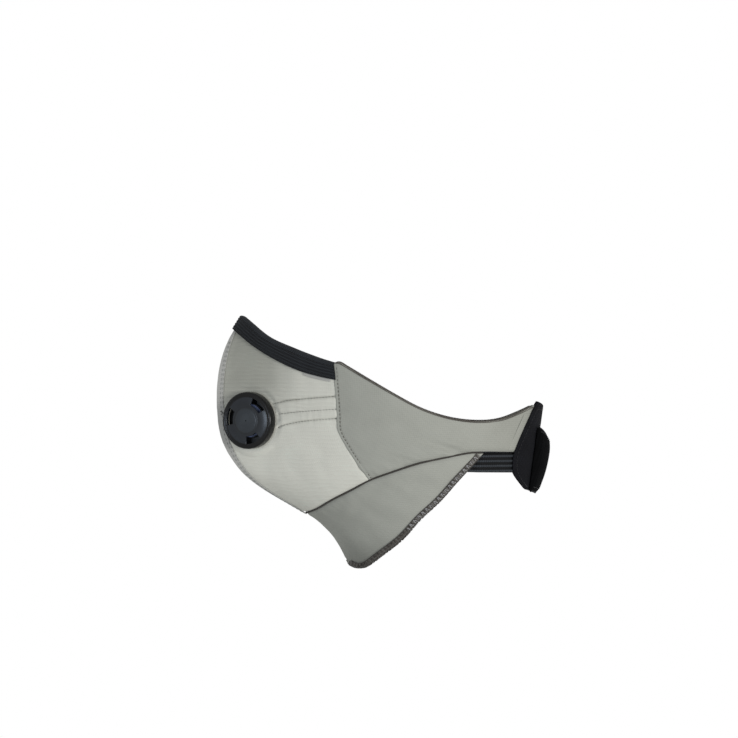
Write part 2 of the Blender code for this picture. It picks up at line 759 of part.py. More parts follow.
def tab_point(x, z, height):
    """Point of the bowed tab: over the nape surface, lifted most at its middle."""
    turn = turn_at_x(abs(x), z, 1.5, 2.0) if abs(x) > 0.01 else 2.0
    across = (TAB_ROOT_X - x) / (TAB_ROOT_X - TAB_END_X)
    bow = TAB_BOW * math.sin(math.pi * min(max(across, 0.0), 1.0)) ** 0.8
    over = min(max((z - TAB_BOW_Z) / TAB_BOW_UP, 0.0), 1.0)
    under = min(max((TAB_BOW_Z - z) / TAB_BOW_DOWN, 0.0), 1.0)
    bow *= (1.0 - over ** 2) * (1.0 - under ** 2)
    base = raw_surface(turn, z)
    before = raw_surface(max(turn - TURN_STEP, 0.0), z)
    up = raw_surface(turn, z + RISE_STEP) - raw_surface(turn, z - RISE_STEP)
    normal = (base - before).cross(up).normalized()
    if turn > 1.999:
        normal = Vector((0.0, normal.y, normal.z)).normalized()
    point = base + normal * (height + bow)
    return Vector((point.x * (1 if x >= 0 else -1), point.y, point.z))


def tab_points(x_from, x_to, inset, height, columns=15, rows=7):
    """Grid over the tab's outline at a height over the surface under it."""
    points = []
    for i in range(columns):
        x = x_from + (x_to - x_from) * i / (columns - 1)
        low, high = tab_height(x, inset)
        points.append([tab_point(x, low + (high - low) * j / (rows - 1), height)
                       for j in range(rows)])
    return points


def build_closure():
    """End patches of both wings, and the hook tab sewn to the left one."""
    under = FABRIC / 2 + GAP
    grid = patch_grid()
    for side, name in ((1, "end_patch_left"), (-1, "loop_patch_right")):
        add_object(name, side_panel_mesh(name, grid, side, under, under + PATCH), "trim", 0.95)
    low = under + PATCH + GAP
    lift = HOOKS_THICK + GAP
    tab = shell_mesh("hook_tab", tab_points(TAB_ROOT_X, TAB_END_X, 0.0, low + lift),
                     tab_points(TAB_ROOT_X, TAB_END_X, 0.0, low + lift + TAB_THICK))
    add_object("hook_tab", tab, "trim", 0.85)
    ends = (TAB_ROOT_X - HOOKS_START, TAB_END_X + HOOKS_INSET)
    hooks = shell_mesh("hook_strip", tab_points(*ends, HOOKS_INSET, low),
                       tab_points(*ends, HOOKS_INSET, low + HOOKS_THICK))
    add_object("hook_strip", hooks, "trim", 0.7)


def build_mask():
    """Build every piece of the mask."""
    clear_scene()
    build_valves()
    build_cloth()
    build_tape()
    build_nose()
    for side, word in ((1, "left"), (-1, "right")):
        build_elastic(side, word)
    build_closure()


build_mask()
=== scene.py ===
import math

import bmesh
import bpy
import numpy as np
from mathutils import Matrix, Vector


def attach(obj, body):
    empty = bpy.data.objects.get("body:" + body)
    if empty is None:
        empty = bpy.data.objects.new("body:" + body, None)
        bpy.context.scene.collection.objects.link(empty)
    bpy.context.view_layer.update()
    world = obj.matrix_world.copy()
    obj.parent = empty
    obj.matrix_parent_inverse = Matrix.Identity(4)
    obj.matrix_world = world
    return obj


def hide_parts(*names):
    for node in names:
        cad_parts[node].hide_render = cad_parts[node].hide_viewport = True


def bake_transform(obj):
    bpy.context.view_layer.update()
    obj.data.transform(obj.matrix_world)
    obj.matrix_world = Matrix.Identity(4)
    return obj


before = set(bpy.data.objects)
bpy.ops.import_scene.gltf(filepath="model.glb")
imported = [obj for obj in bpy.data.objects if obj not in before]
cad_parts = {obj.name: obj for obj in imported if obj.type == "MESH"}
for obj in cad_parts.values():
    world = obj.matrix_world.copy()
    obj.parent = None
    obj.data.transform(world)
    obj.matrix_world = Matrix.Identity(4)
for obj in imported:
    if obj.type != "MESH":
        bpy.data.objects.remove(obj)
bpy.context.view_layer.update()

mm = 0.001   # every shape below is worked out in millimetres and made in metres

# The camera looks straight at the wearer's left side from far away.
cameraView = {"place": (6.0, -0.0202, 0.0462), "lens": 450.0, "sensor": 36.0}
cameraData = bpy.data.cameras.new("camera")
cameraData.lens = cameraView["lens"]
cameraData.sensor_width = cameraView["sensor"]
cameraData.clip_end = 50.0
camera = bpy.data.objects.new("camera", cameraData)
bpy.context.scene.collection.objects.link(camera)
camera.location = cameraView["place"]
camera.rotation_euler = (math.pi / 2, 0.0, math.pi / 2)
bpy.context.scene.camera = camera
print("camera ready")


# The shape of the worn mask, in millimetres: the centre line of its front as (y, z)
# from the throat to the nose bridge, and its horizontal sections as height, lead
# angle, lead length, half width, y of the widest point and straight cheek length.
worn = {
    "frontLine": ((-31, -84), (-39.6, -67), (-50, -55), (-60.2, -47.5), (-87.5, -31.2),
                  (-101.6, -19.5), (-113.2, 0), (-116.6, 22), (-115.4, 45),
                  (-110.6, 63), (-101, 81)),
    "sections": ((-84, 88, 26, 54, 24, 26), (-60, 84, 28, 57, 24, 30),
                 (-45, 66, 30, 59, 22, 38), (-30, 46, 36, 61, 20, 44),
                 (-12, 32, 58, 63, 16, 48), (10, 28.5, 76, 65, 12, 48),
                 (30, 28.5, 74, 66, 8, 46), (50, 32, 58, 65, 2, 40),
                 (66, 45, 34, 62, -4, 36), (82, 70, 24, 58, -8, 30)),
    "napeY": 88.0, "napeLean": 0.14, "napeRound": 0.55,
    "valveY": -95.8, "valveZ": 13.0, "valveFlat": 20.0, "valveFade": 24.0,
}

# Seams and edges of the left half, as (y, z) seen from the side.
lines = {
    "noseEdge": ((-102, 79.4), (-86.7, 66.4), (-70.3, 58.6), (-54, 52.4), (-43.4, 49.2)),
    "bindingLow": ((-107, 71), (-94, 61), (-80, 52.6), (-65.7, 45.8), (-52.7, 41.8),
                   (-43, 39.8)),
    "cupSeam": ((-19.5, -25.4), (-27.3, -15), (-34.5, -3.9), (-40, 6.5), (-40.6, 16),
                (-41.2, 26), (-42, 36), (-43.0, 49.6)),
    "sideTop": ((-43.0, 49.6), (-39.4, 50.6), (-34.6, 48.0), (-19.5, 39), (-2, 28.8),
                (13, 20.9), (28, 15.6), (42, 12.9), (55.6, 12.4), (65.7, 13.9),
                (76, 17.8), (86.5, 22.8)),
    "chinSeamFront": ((-60.2, -47), (-54, -44.4), (-43.6, -38.1), (-31.5, -31.9),
                      (-19.5, -25.4)),
    "chinSeamRear": ((-19.5, -25.4), (-3.3, -19.5), (13, -14.3), (31.2, -10.4),
                     (46.2, -7.8)),
    "wingLow": ((55.6, -7.4), (66, -7.6), (76.5, -7.8)),
    "wingEnd": ((76.5, -7.8), (82.2, 8), (86.5, 22.8)),
    "chinHem": ((-32.6, -80.4), (-27.5, -82.4), (-22, -81.6), (-12.4, -74.6),
                (1.3, -63.6), (13, -50.6), (25.4, -39), (35.8, -27.2), (46.2, -15.8),
                (51.2, -10.2)),
    "chinTip": (53.4, -7.9),
    "patchFront": ((79.4, -31.6), (73.2, -23), (71.5, -17), (72.8, -7), (83.6, 18),
                   (87.6, 25.4)),
}

bothSides = ((1, "left"), (-1, "right"))   # sign of x and the word used in names
valveHole = 11.8    # radius of the hole that each valve needs in cup and filter
stitchLift = 0.12   # how far the middle of a stitch stands over its line
halvings = 36       # settles a searched place far below a thousandth of a millimetre


def smoothRows(rows, at):
    # values at each place, from rows of (place, value, ...) joined by smooth cubics
    rows, at = np.asarray(rows, float), np.asarray(at, float)
    place = rows[:, 0]
    index = np.clip(np.searchsorted(place, at) - 1, 0, len(rows) - 2)
    before, after = np.maximum(index - 1, 0), np.minimum(index + 2, len(rows) - 1)
    span = (place[index + 1] - place[index])[..., None]
    part = np.clip((at - place[index])[..., None] / span, 0, 1)
    here, there = rows[index, 1:], rows[index + 1, 1:]
    riseHere = (there - rows[before, 1:]) / (place[index + 1] - place[before])[..., None] * span
    riseThere = (rows[after, 1:] - here) / (place[after] - place[index])[..., None] * span
    square, cube = part ** 2, part ** 3
    return ((2 * cube - 3 * square + 1) * here + (cube - 2 * square + part) * riseHere
            + (3 * square - 2 * cube) * there + (cube - square) * riseThere)


def cubicShares(t):
    # weights of the four points of a cubic curve
    r = 1 - t
    return r ** 3, 3 * r * r * t, 3 * r * t * t, t ** 3


def rawSurface(turn, z):
    # left half before the valve flat: turn 0 is centre front, 1 the cheek, 2 the nape
    turn, z = np.broadcast_arrays(np.asarray(turn, float), np.asarray(z, float))
    angle, lead, half, wide, cheek = np.moveaxis(smoothRows(worn["sections"], z), -1, 0)
    frontY = smoothRows([(height, y) for y, height in worn["frontLine"]], z)[..., 0]
    lean = np.radians(angle)
    nape = worn["napeY"] + worn["napeLean"] * z
    reach = worn["napeRound"]
    zero, one, two, three = cubicShares(np.clip(turn, 0, 1))
    xFront = one * lead * np.sin(lean) + (two + three) * half
    yFront = (zero * frontY + one * (frontY + lead * np.cos(lean))
              + two * (wide - cheek) + three * wide)
    zero, one, two, three = cubicShares(np.clip(turn - 1, 0, 1))
    xRear = (zero + one) * half + two * reach * half
    yRear = zero * wide + one * (wide + reach * (nape - wide)) + (two + three) * nape
    rear = turn > 1
    return np.stack([np.where(rear, xRear, xFront), np.where(rear, yRear, yFront), z], -1)


def halved(low, high, isLow):
    # halves the span between low and high until the wanted place is found
    for _ in range(halvings):
        middle = (low + high) / 2
        below = isLow(middle)
        low, high = np.where(below, middle, low), np.where(below, high, middle)
    return (low + high) / 2


def findTurn(y, z):
    y, z = np.asarray(y, float), np.asarray(z, float)
    return halved(np.zeros(y.shape), np.full(y.shape, 2.0),
                  lambda turn: rawSurface(turn, z)[..., 1] < y)


def turnAtX(x, z, low, high):
    # turn between low and high, one of them on the mid plane, where x is reached
    z = np.asarray(z, float)
    grows = rawSurface(high, z)[..., 0] > rawSurface(low, z)[..., 0]
    return halved(np.full(z.shape, float(low)), np.full(z.shape, float(high)),
                  lambda turn: (rawSurface(turn, z)[..., 0] < x) == grows)


def unit(vectors):
    return vectors / np.maximum(np.linalg.norm(vectors, axis=-1, keepdims=True), 1e-9)


def fade(value):
    # smooth step from 0 to 1
    part = np.clip(value, 0, 1)
    return part * part * (3 - 2 * part)


def normalOf(shape, turn, z):
    step = 0.004
    along = shape(turn + step, z) - shape(np.maximum(turn - step, 0), z)
    return unit(np.cross(along, shape(turn, z + 0.5) - shape(turn, z - 0.5)))


valveTurn = findTurn(worn["valveY"], worn["valveZ"])
valveCentre = rawSurface(valveTurn, worn["valveZ"])
valveAxis = normalOf(rawSurface, valveTurn, worn["valveZ"])


def fromValve(points):
    # distance of points from the left valve's axis
    away = points - valveCentre
    return np.linalg.norm(away - (away @ valveAxis)[..., None] * valveAxis, axis=-1)


def surface(turn, z):
    # the worn surface, drawn flat under the valve
    point = rawSurface(turn, z)
    height = (point - valveCentre) @ valveAxis
    near = fade((worn["valveFade"] - fromValve(point)) / (worn["valveFade"] - worn["valveFlat"]))
    return point - (height * near)[..., None] * valveAxis


def lifted(places, height):
    # points at a height over the surface, mitred where a piece meets the mid plane
    turn, z = places[..., 0], places[..., 1]
    point, normal = surface(turn, z), normalOf(surface, turn, z)
    middle = (turn <= 1e-6)[..., None]
    flat = normal * (0, 1, 1)
    mitred = unit(flat) * np.minimum(1 / np.linalg.norm(flat, axis=-1, keepdims=True), 2)
    direction = np.where(middle, mitred, normal)
    point = np.where(middle, point * (0, 1, 1), point)
    height = np.broadcast_to(np.asarray(height, float), turn.shape)
    return point + direction * height[..., None]


def evenly(points, count):
    # evenly spaced points along a smooth curve through (y, z) points
    points = np.asarray(points, float)
    steps = np.linalg.norm(np.diff(points, axis=0), axis=1)
    place = np.concatenate([[0], np.cumsum(steps)])
    rows = np.column_stack([place, points])
    if len(rows) == 2:
        rows = np.insert(rows, 1, rows.mean(0), axis=0)
    return smoothRows(rows, np.linspace(0, place[-1], count))


def toPlaces(curve):
    # (y, z) rows as (turn, z) places on the surface
    return np.column_stack([findTurn(curve[:, 0], curve[:, 1]), curve[:, 1]])


def onSurface(points, count=160, shift=(0.0, 0.0)):
    # places on the surface along a smooth curve through (y, z) points
    return toPlaces(evenly(points, count) + shift)


def normalsAt(places):
    return normalOf(surface, places[:, 0], places[:, 1])


def uprightEdge(zLow, zHigh, x, low, high, count=160):
    # an edge that stays x from the mid plane, at the front or at the nape
    z = np.linspace(zLow, zHigh, count)
    turn = turnAtX(x, z, low, high) if x > 0 else np.full(count, float(low))
    return np.column_stack([turn, z])


def lengthOf(places):
    return np.linalg.norm(np.diff(surface(places[:, 0], places[:, 1]), axis=0), axis=1).sum()


# Grid steps at each end of a panel and how far in the even steps begin, in mm.
grid = {"close": (0, 0.15, 0.4, 0.75, 1.2), "inset": 1.7, "ends": 3.2}


def steps(length, step):
    # shares of a length: close together in the last millimetres of each end
    close = np.array(grid["close"])
    count = max(int((length - grid["ends"]) / step), 2)
    inside = np.linspace(grid["inset"], length - grid["inset"], count)
    return np.concatenate([close, inside, length - close[::-1]]) / length


def sampled(edge, shares):
    at = np.linspace(0, 1, len(edge))
    return np.column_stack([np.interp(shares, at, edge[:, axis]) for axis in (0, 1)])


def panelPlaces(front, rear, low, high, step):
    # grid of (turn, z) places inside four edges: columns run front to rear
    high[0], low[0], high[-1], low[-1] = front[-1], front[0], rear[-1], rear[0]
    across = steps(max(lengthOf(low), lengthOf(high)), step)
    up = steps(max(lengthOf(front), lengthOf(rear)), step)
    low, high = sampled(low, across), sampled(high, across)
    front, rear = sampled(front, up), sampled(rear, up)
    u, v = across[:, None, None], up[None, :, None]
    edges = ((1 - v) * low[:, None] + v * high[:, None]
             + (1 - u) * front[None] + u * rear[None])
    corners = ((1 - u) * (1 - v) * low[0] + u * (1 - v) * low[-1]
               + (1 - u) * v * high[0] + u * v * high[-1])
    return edges - corners


def runningLength(points, axis):
    # length from the first row of a grid of points, along one axis
    return np.insert(np.linalg.norm(np.diff(points, axis=axis), axis=-1).cumsum(axis),
                     0, 0, axis)


def mixed(corners, a, b):
    # the value between four corners, a along and b up
    return ((1 - a) * ((1 - b) * corners[0][0] + b * corners[0][1])
            + a * ((1 - b) * corners[1][0] + b * corners[1][1]))


# Cloth coordinates: millimetres round the head and up the cloth, for weave and ribs.
arc = {"columns": 300, "rows": 180, "low": -90.0}
arcPoints = rawSurface(np.linspace(0, 2, arc["columns"] + 1)[:, None],
                       arc["low"] + np.arange(arc["rows"] + 1)[None])
arcTables = runningLength(arcPoints, 0), runningLength(arcPoints, 1)


def clothPlace(places):
    column = np.clip(places[..., 0] / 2 * arc["columns"], 0, arc["columns"] - 0.001)
    row = np.clip(places[..., 1] - arc["low"], 0, arc["rows"] - 0.001)
    i, j = column.astype(int), row.astype(int)
    found = [mixed([[table[i + di, j + dj] for dj in (0, 1)] for di in (0, 1)],
                   column - i, row - j) for table in arcTables]
    return np.stack(found, -1)


noiseSize = 96
noiseTable = np.random.default_rng(7).random((noiseSize, noiseSize)) * 2 - 1


def softNoise(u, v, size, shift=0):
    # smooth noise from -1 to 1 with blotches of the given size
    x, y = u / size + 31.7 + 13 * shift, v / size + 47.3 + 29 * shift
    i, j = np.floor(x).astype(int), np.floor(y).astype(int)
    corners = [[noiseTable[(i + di) % noiseSize, (j + dj) % noiseSize] for dj in (0, 1)]
               for di in (0, 1)]
    return mixed(corners, fade(x - i), fade(y - j))


def meshOf(name, points, faces, uv=None):
    # a mesh from points in millimetres, its faces turned outwards
    mesh = bpy.data.meshes.new(name)
    mesh.from_pydata((np.asarray(points) * mm).tolist(), [], faces)
    if uv is not None:
        layer = mesh.uv_layers.new(name="cloth")
        corners = np.empty(len(mesh.loops), int)
        mesh.loops.foreach_get("vertex_index", corners)
        layer.data.foreach_set("uv", (np.asarray(uv)[corners] * mm).ravel())
    work = bmesh.new()
    work.from_mesh(mesh)
    loose = [v for v in work.verts if not v.link_faces]
    bmesh.ops.delete(work, geom=loose, context="VERTS")
    bmesh.ops.recalc_face_normals(work, faces=work.faces)
    work.to_mesh(mesh)
    work.free()
    mesh.shade_smooth()
    mesh.set_sharp_from_angle(angle=math.radians(50))
    return mesh


def shellMesh(name, outer, inner, uv, keep=None, ring=False):
    # closed shell between two equal grids; keep marks the quads that aren't cut away
    columns, rows = outer.shape[:2]
    across = columns if ring else columns - 1
    if keep is None:
        keep = np.ones((across, rows - 1), bool)
    second = columns * rows
    at = lambda i, j: (i % columns) * rows + j
    faces = []
    for i in range(across):
        for j in range(rows - 1):
            if not keep[i, j]:
                continue
            quad = (at(i, j), at(i + 1, j), at(i + 1, j + 1), at(i, j + 1))
            faces.append(quad)
            faces.append(tuple(second + corner for corner in reversed(quad)))
            beside = ((i, j - 1), (i + 1, j), (i, j + 1), (i - 1, j))
            for side, (a, b) in enumerate(beside):
                if ring:
                    a %= columns
                inside = 0 <= a < across and 0 <= b < rows - 1
                if not (inside and keep[a, b]):
                    here, there = quad[side], quad[(side + 1) % 4]
                    faces.append((there, here, second + here, second + there))
    points = np.concatenate([outer.reshape(-1, 3), inner.reshape(-1, 3)])
    flat = uv.reshape(-1, 2)
    return meshOf(name, points, faces, np.concatenate([flat, flat]))


def edgeDistances(points):
    # distance of each grid point from the front, rear, low and high edges
    along, up = runningLength(points, 0), runningLength(points, 1)
    return along, along[-1] - along, up, up[:, -1:] - up


def roundedHalf(edge, thick):
    # half the thickness of a cloth, less near its edges
    return thick / 2 * (0.3 + 0.7 * np.sqrt(1 - (1 - np.clip(2 * edge / thick, 0, 1)) ** 2))


def wholeFromHalf(layer):
    # a grid of the left half and its mirror image, joined at the mid plane
    return np.concatenate([layer[:0:-1] * (-1, 1, 1), layer])


def panelMesh(name, places, thick, middle, side=1, crossing=False, hole=None, grain=0.0,
              uv=None):
    # a sewn panel: rounded edges, a middle height that may vary, holes for the valves
    base = lifted(places, 0.0)
    distances = edgeDistances(base)
    half = roundedHalf(np.minimum.reduce(distances[1:] if crossing else distances), thick)
    uv = clothPlace(places) if uv is None else uv
    layers = lifted(places, middle + grain + half), lifted(places, middle - half)
    keep = None
    if hole:
        gone = fromValve(base) < hole
        keep = ~(gone[:-1, :-1] & gone[1:, :-1] & gone[:-1, 1:] & gone[1:, 1:])
        for layer in layers:
            away = layer - valveCentre
            height = (away @ valveAxis)[..., None] * valveAxis
            snapped = valveCentre + height + unit(away - height) * hole
            layer[gone] = snapped[gone]
    if crossing:
        outer, inner = (wholeFromHalf(layer) for layer in layers)
        uv = np.concatenate([uv[:0:-1] * (-1, 1), uv])
        keep = None if keep is None else np.concatenate([keep[::-1], keep])
    else:
        outer, inner = (layer * (side, 1, 1) for layer in layers)
    return shellMesh(name, outer, inner, uv, keep)


def alongPath(points, normals, pitch):
    # evenly spaced points, directions and normals along a path
    lengths = runningLength(points, 0)
    count = max(int(round(lengths[-1] / pitch)), 2)
    at = np.linspace(0, lengths[-1], count + 1)
    even, up = (np.column_stack([np.interp(at, lengths, rows[:, k]) for k in range(3)])
                for rows in (points, normals))
    return even, unit(np.gradient(even, axis=0)), unit(up)


def tubeParts(points, normals, radius, sides=6, flat=1.0):
    # points and faces of a tube along a path, with closed ends
    points, normals = np.asarray(points, float), np.asarray(normals, float)
    direction = unit(np.gradient(points, axis=0))
    side = unit(np.cross(direction, normals))
    up = np.cross(side, direction)
    radius = np.broadcast_to(np.asarray(radius, float), (len(points),))
    angles = np.arange(sides) * 2 * math.pi / sides
    ring = (side[:, None] * np.cos(angles)[None, :, None]
            + up[:, None] * (np.sin(angles) * flat)[None, :, None])
    verts = points[:, None] + ring * radius[:, None, None]
    faces = []
    for i in range(len(points) - 1):
        for k in range(sides):
            a, b = i * sides + k, i * sides + (k + 1) % sides
            faces.append((a, b, b + sides, a + sides))
    faces.append(tuple(range(sides - 1, -1, -1)))
    faces.append(tuple(range((len(points) - 1) * sides, len(points) * sides)))
    return verts.reshape(-1, 3), faces


def joined(parts):
    # several (points, faces) made one
    points, faces, count = [], [], 0
    for some, their in parts:
        points.append(some)
        faces += [tuple(corner + count for corner in face) for face in their]
        count += len(some)
    return np.concatenate(points), faces


def stitchParts(points, normals, thread, pitch, length, lift=stitchLift):
    # a run of separate stitches that dip into the cloth at both ends
    parts = []
    shares = np.array((-0.5, -0.36, -0.12, 0.12, 0.36, 0.5))
    rise = np.array((-0.9, 0.35, 1, 1, 0.35, -0.9)) * lift
    girth = np.array((0.45, 0.9, 1, 1, 0.9, 0.45)) * thread
    for place, ahead, over in zip(*alongPath(points, normals, pitch)):
        line = place + ahead * (shares * length)[:, None] + over * rise[:, None]
        parts.append(tubeParts(line, np.tile(over, (6, 1)), girth))
    return parts


def mirrored(parts):
    return [(points * (-1, 1, 1), [tuple(reversed(face)) for face in faces])
            for points, faces in parts]


def addPiece(name, mesh, material, body=None, replaces=(), bend=None):
    # one visible piece, riding on its body, or with its placement baked in and on no body when a
    # bend is given
    piece = bpy.data.objects.new(name, mesh)
    bpy.context.scene.collection.objects.link(piece)
    mesh.materials.clear()
    mesh.materials.append(material)
    if bend:
        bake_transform(piece)
    else:
        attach(piece, body)
    if replaces:
        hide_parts(*replaces)
    return piece


def addParts(name, parts, material, body="mask_front", bend=None, side=0):
    # threads and cords as one piece: both halves of the mask, or one side of it
    flipped = mirrored(parts) if side < 1 else []
    points, faces = joined(flipped if side < 0 else parts + flipped)
    mesh = meshOf(name, points, faces, points[:, 1:])
    return addPiece(name, mesh, material, body, bend=bend)


def addPanels(name, places, thick, middle, material, slot, body=None, replaces=(), **shape):
    # the same panel on each side; * in a name stands for left or right
    pieces = []
    for side, word in bothSides:
        mesh = panelMesh(name.replace("*", word), places, thick, middle, side, **shape)
        pieces.append(addPiece(mesh.name, mesh, material, body,
                               [node.replace("*", word) for node in replaces],
                               None if body else word))
    return pieces


def toLinear(hexColour):
    # an sRGB hex colour as a linear colour with alpha
    parts = [int(hexColour[k:k + 2], 16) / 255 for k in (1, 3, 5)]
    return [p / 12.92 if p <= 0.04045 else ((p + 0.055) / 1.055) ** 2.4 for p in parts] + [1.0]


def newMaterial(name, **shaderValues):
    material = bpy.data.materials.new(name)
    material.use_nodes = True
    shader = material.node_tree.nodes["Principled BSDF"]
    for socket, value in shaderValues.items():
        shader.inputs[socket.replace("_", " ")].default_value = value
    return material, material.node_tree, shader


def addNode(tree, kind, settings, links=None):
    # one node with its settings (properties, input sockets or ramp stops) and its links
    node = tree.nodes.new("ShaderNode" + kind)
    for key, value in settings.items():
        if key == "stops":
            elements = node.color_ramp.elements
            while len(elements) < len(value):
                elements.new(0.5)
            for element, (place, colour) in zip(elements, value):
                element.position = place
                element.color = toLinear(colour)
        elif isinstance(key, str) and hasattr(node, key):
            setattr(node, key, value)
        else:
            node.inputs[key].default_value = value
    for socket, source in (links or {}).items():
        tree.links.new(source, node.inputs[socket])
    return node


def waves(tree, coordinate, wanted):
    # sum of sine bands in cloth millimetres: (x share, y share, spacing, strength)
    total = None
    for x, y, spacing, strength in wanted:
        turn = 2 * math.pi / spacing
        dot = addNode(tree, "VectorMath", {"operation": "DOT_PRODUCT",
                                           1: (x * turn, y * turn, 0)}, {0: coordinate})
        sine = addNode(tree, "Math", {"operation": "SINE"}, {0: dot.outputs["Value"]})
        part = addNode(tree, "Math", {"operation": "MULTIPLY", 1: strength},
                       {0: sine.outputs[0]})
        if total is None:
            total = part
        else:
            total = addNode(tree, "Math", {"operation": "ADD"},
                            {0: total.outputs[0], 1: part.outputs[0]})
    return total.outputs[0]


def clothMaterial(name, spec):
    # knitted or woven cloth: thread bands, mottled dye and loose fibre, with soft sheen
    material, tree, shader = newMaterial(
        name, Roughness=spec["roughness"], IOR=spec["ior"], Sheen_Weight=spec["sheen"],
        Sheen_Roughness=0.45, Specular_IOR_Level=spec.get("specular", 0.35),
        Sheen_Tint=toLinear(spec["sheenTint"]))
    uv = addNode(tree, "UVMap", {"uv_map": "cloth"})
    inMm = addNode(tree, "VectorMath", {"operation": "SCALE", "Scale": 1000.0},
                   {0: uv.outputs[0]})
    wander = addNode(tree, "TexNoise", {"Scale": 1 / spec["wander"], "Detail": 2.0},
                     {"Vector": inMm.outputs[0]})
    shift = addNode(tree, "VectorMath", {"operation": "SCALE", "Scale": spec["wanderBy"]},
                    {0: wander.outputs["Color"]})
    laid = addNode(tree, "VectorMath", {"operation": "ADD"},
                   {0: inMm.outputs[0], 1: shift.outputs[0]})
    threads = waves(tree, laid.outputs[0], spec["threads"])
    fibre = addNode(tree, "TexNoise", {"Scale": 1 / spec["fibre"], "Detail": 4.0,
                                       "Roughness": 0.65}, {"Vector": laid.outputs[0]})
    blotch = addNode(tree, "TexNoise", {"Scale": 1 / spec["blotch"], "Detail": 3.0},
                     {"Vector": inMm.outputs[0]})
    height = addNode(tree, "Math", {"operation": "MULTIPLY_ADD", 1: spec["fuzz"]},
                     {0: fibre.outputs["Fac"], 2: threads})
    dye = addNode(tree, "Math", {"operation": "MULTIPLY_ADD", 1: spec["mottle"],
                                 2: 0.5 - spec["mottle"] / 2 - spec["fuzz"] * spec["shade"] / 2},
                  {0: blotch.outputs["Fac"]})
    # painted light and shade: the colour follows the thread relief, lighter on the crests and
    # darker in the hollows
    tone = addNode(tree, "Math", {"operation": "MULTIPLY_ADD", 1: spec["shade"]},
                   {0: height.outputs[0], 2: dye.outputs[0]})
    ramp = addNode(tree, "ValToRGB", {"stops": spec["colours"]}, {"Fac": tone.outputs[0]})
    colour = ramp.outputs["Color"]
    if "paintedShade" in spec:
        # painted shade: a darker zone of the cloth, between two places across and up it
        where = addNode(tree, "SeparateXYZ", {}, {0: inMm.outputs[0]})
        ends = spec["paintedShade"]
        part = [addNode(tree, "MapRange", {"interpolation_type": "SMOOTHSTEP",
                                           "From Min": ends[name][0], "From Max": ends[name][1]},
                        {"Value": where.outputs[axis]})
                for name, axis in (("across", 0), ("up", 1))]
        both = addNode(tree, "Math", {"operation": "MULTIPLY"},
                       {0: part[0].outputs[0], 1: part[1].outputs[0]})
        darker = addNode(tree, "Mix", {"data_type": "RGBA", "blend_type": "MULTIPLY",
                                       7: toLinear(ends["tint"])},
                         {0: both.outputs[0], 6: colour})
        colour = darker.outputs[2]
    tree.links.new(colour, shader.inputs["Base Color"])
    bump = addNode(tree, "Bump", {"Strength": spec["bump"], "Distance": spec["relief"] * mm},
                   {"Height": height.outputs[0]})
    tree.links.new(bump.outputs["Normal"], shader.inputs["Normal"])
    return material


def mouldedMaterial(name, spec, **shaderValues):
    # moulded plastic, rubber or metal: fine spark-eroded or rolled grain over a plain colour
    material, tree, shader = newMaterial(name, IOR=spec["ior"], **shaderValues)
    where = addNode(tree, "TexCoord", {})
    stretched = addNode(tree, "Mapping", {"Scale": spec.get("stretch", (1, 1, 1))},
                        {"Vector": where.outputs["Object"]})
    grain = addNode(tree, "TexNoise", {"Scale": 1000.0 / spec["grain"], "Detail": 3.0},
                    {"Vector": stretched.outputs[0]})
    cloud = addNode(tree, "TexNoise", {"Scale": 1000.0 / spec["cloud"], "Detail": 2.0},
                    {"Vector": where.outputs["Object"]})
    rough = addNode(tree, "MapRange", {"To Min": spec["roughness"][0],
                                       "To Max": spec["roughness"][1]},
                    {"Value": cloud.outputs["Fac"]})
    ramp = addNode(tree, "ValToRGB", {"stops": spec["colours"]},
                   {"Fac": cloud.outputs["Fac"]})
    colour = ramp.outputs["Color"]
    if "rings" in spec:
        # painted reflection and shade by the distance from the middle, which the cloth
        # coordinates hold: a lighter blue grey face and a near black rim
        uv = addNode(tree, "UVMap", {"uv_map": "cloth"})
        far = addNode(tree, "SeparateXYZ", {}, {0: uv.outputs[0]})
        share = addNode(tree, "Math", {"operation": "DIVIDE", 1: spec["ringsTo"] * mm},
                        {0: far.outputs[0]})
        rings = addNode(tree, "ValToRGB", {"stops": spec["rings"]}, {"Fac": share.outputs[0]})
        both = addNode(tree, "Mix", {"data_type": "RGBA", "blend_type": "MULTIPLY",
                                     "Factor": 1.0},
                       {6: rings.outputs["Color"], 7: colour})
        colour = both.outputs[2]
    bump = addNode(tree, "Bump", {"Strength": spec["bump"], "Distance": spec["relief"] * mm},
                   {"Height": grain.outputs["Fac"]})
    tree.links.new(colour, shader.inputs["Base Color"])
    tree.links.new(rough.outputs[0], shader.inputs["Roughness"])
    tree.links.new(bump.outputs["Normal"], shader.inputs["Normal"])
    return material


# Warp-knitted polyester with a brushed face: pale grey-green, fine wavy cross ribs.
# The real loops are about 0.8 mm apart and are drawn at 1.5 mm so that they show.
cupKnit = clothMaterial("warpKnitPolyester", {
    "roughness": 0.88, "ior": 1.47, "sheen": 0.22, "sheenTint": "#e6ebe6",
    "wander": 14.0, "wanderBy": 3.2, "fibre": 0.9, "blotch": 16.0,
    "threads": ((0, 1, 2.6, 0.16), (1, 0, 1.5, 0.12), (0, 1, 1.3, 0.14)),
    "fuzz": 0.9, "mottle": 0.34, "shade": 0.22, "bump": 0.7, "relief": 0.2,
    "colours": ((0.0, "#9a9890"), (0.38, "#c6c5bb"), (0.55, "#cccbc1"), (0.7, "#c8cfc3"),
                (1.0, "#dfe0d5")),
    # painted shade: the cloth is tinted darker towards the top front of the cup, where it turns
    # away from the lamps
    "paintedShade": {"across": (74.0, 26.0), "up": (4.0, 40.0), "tint": "#c1c2c0"}})

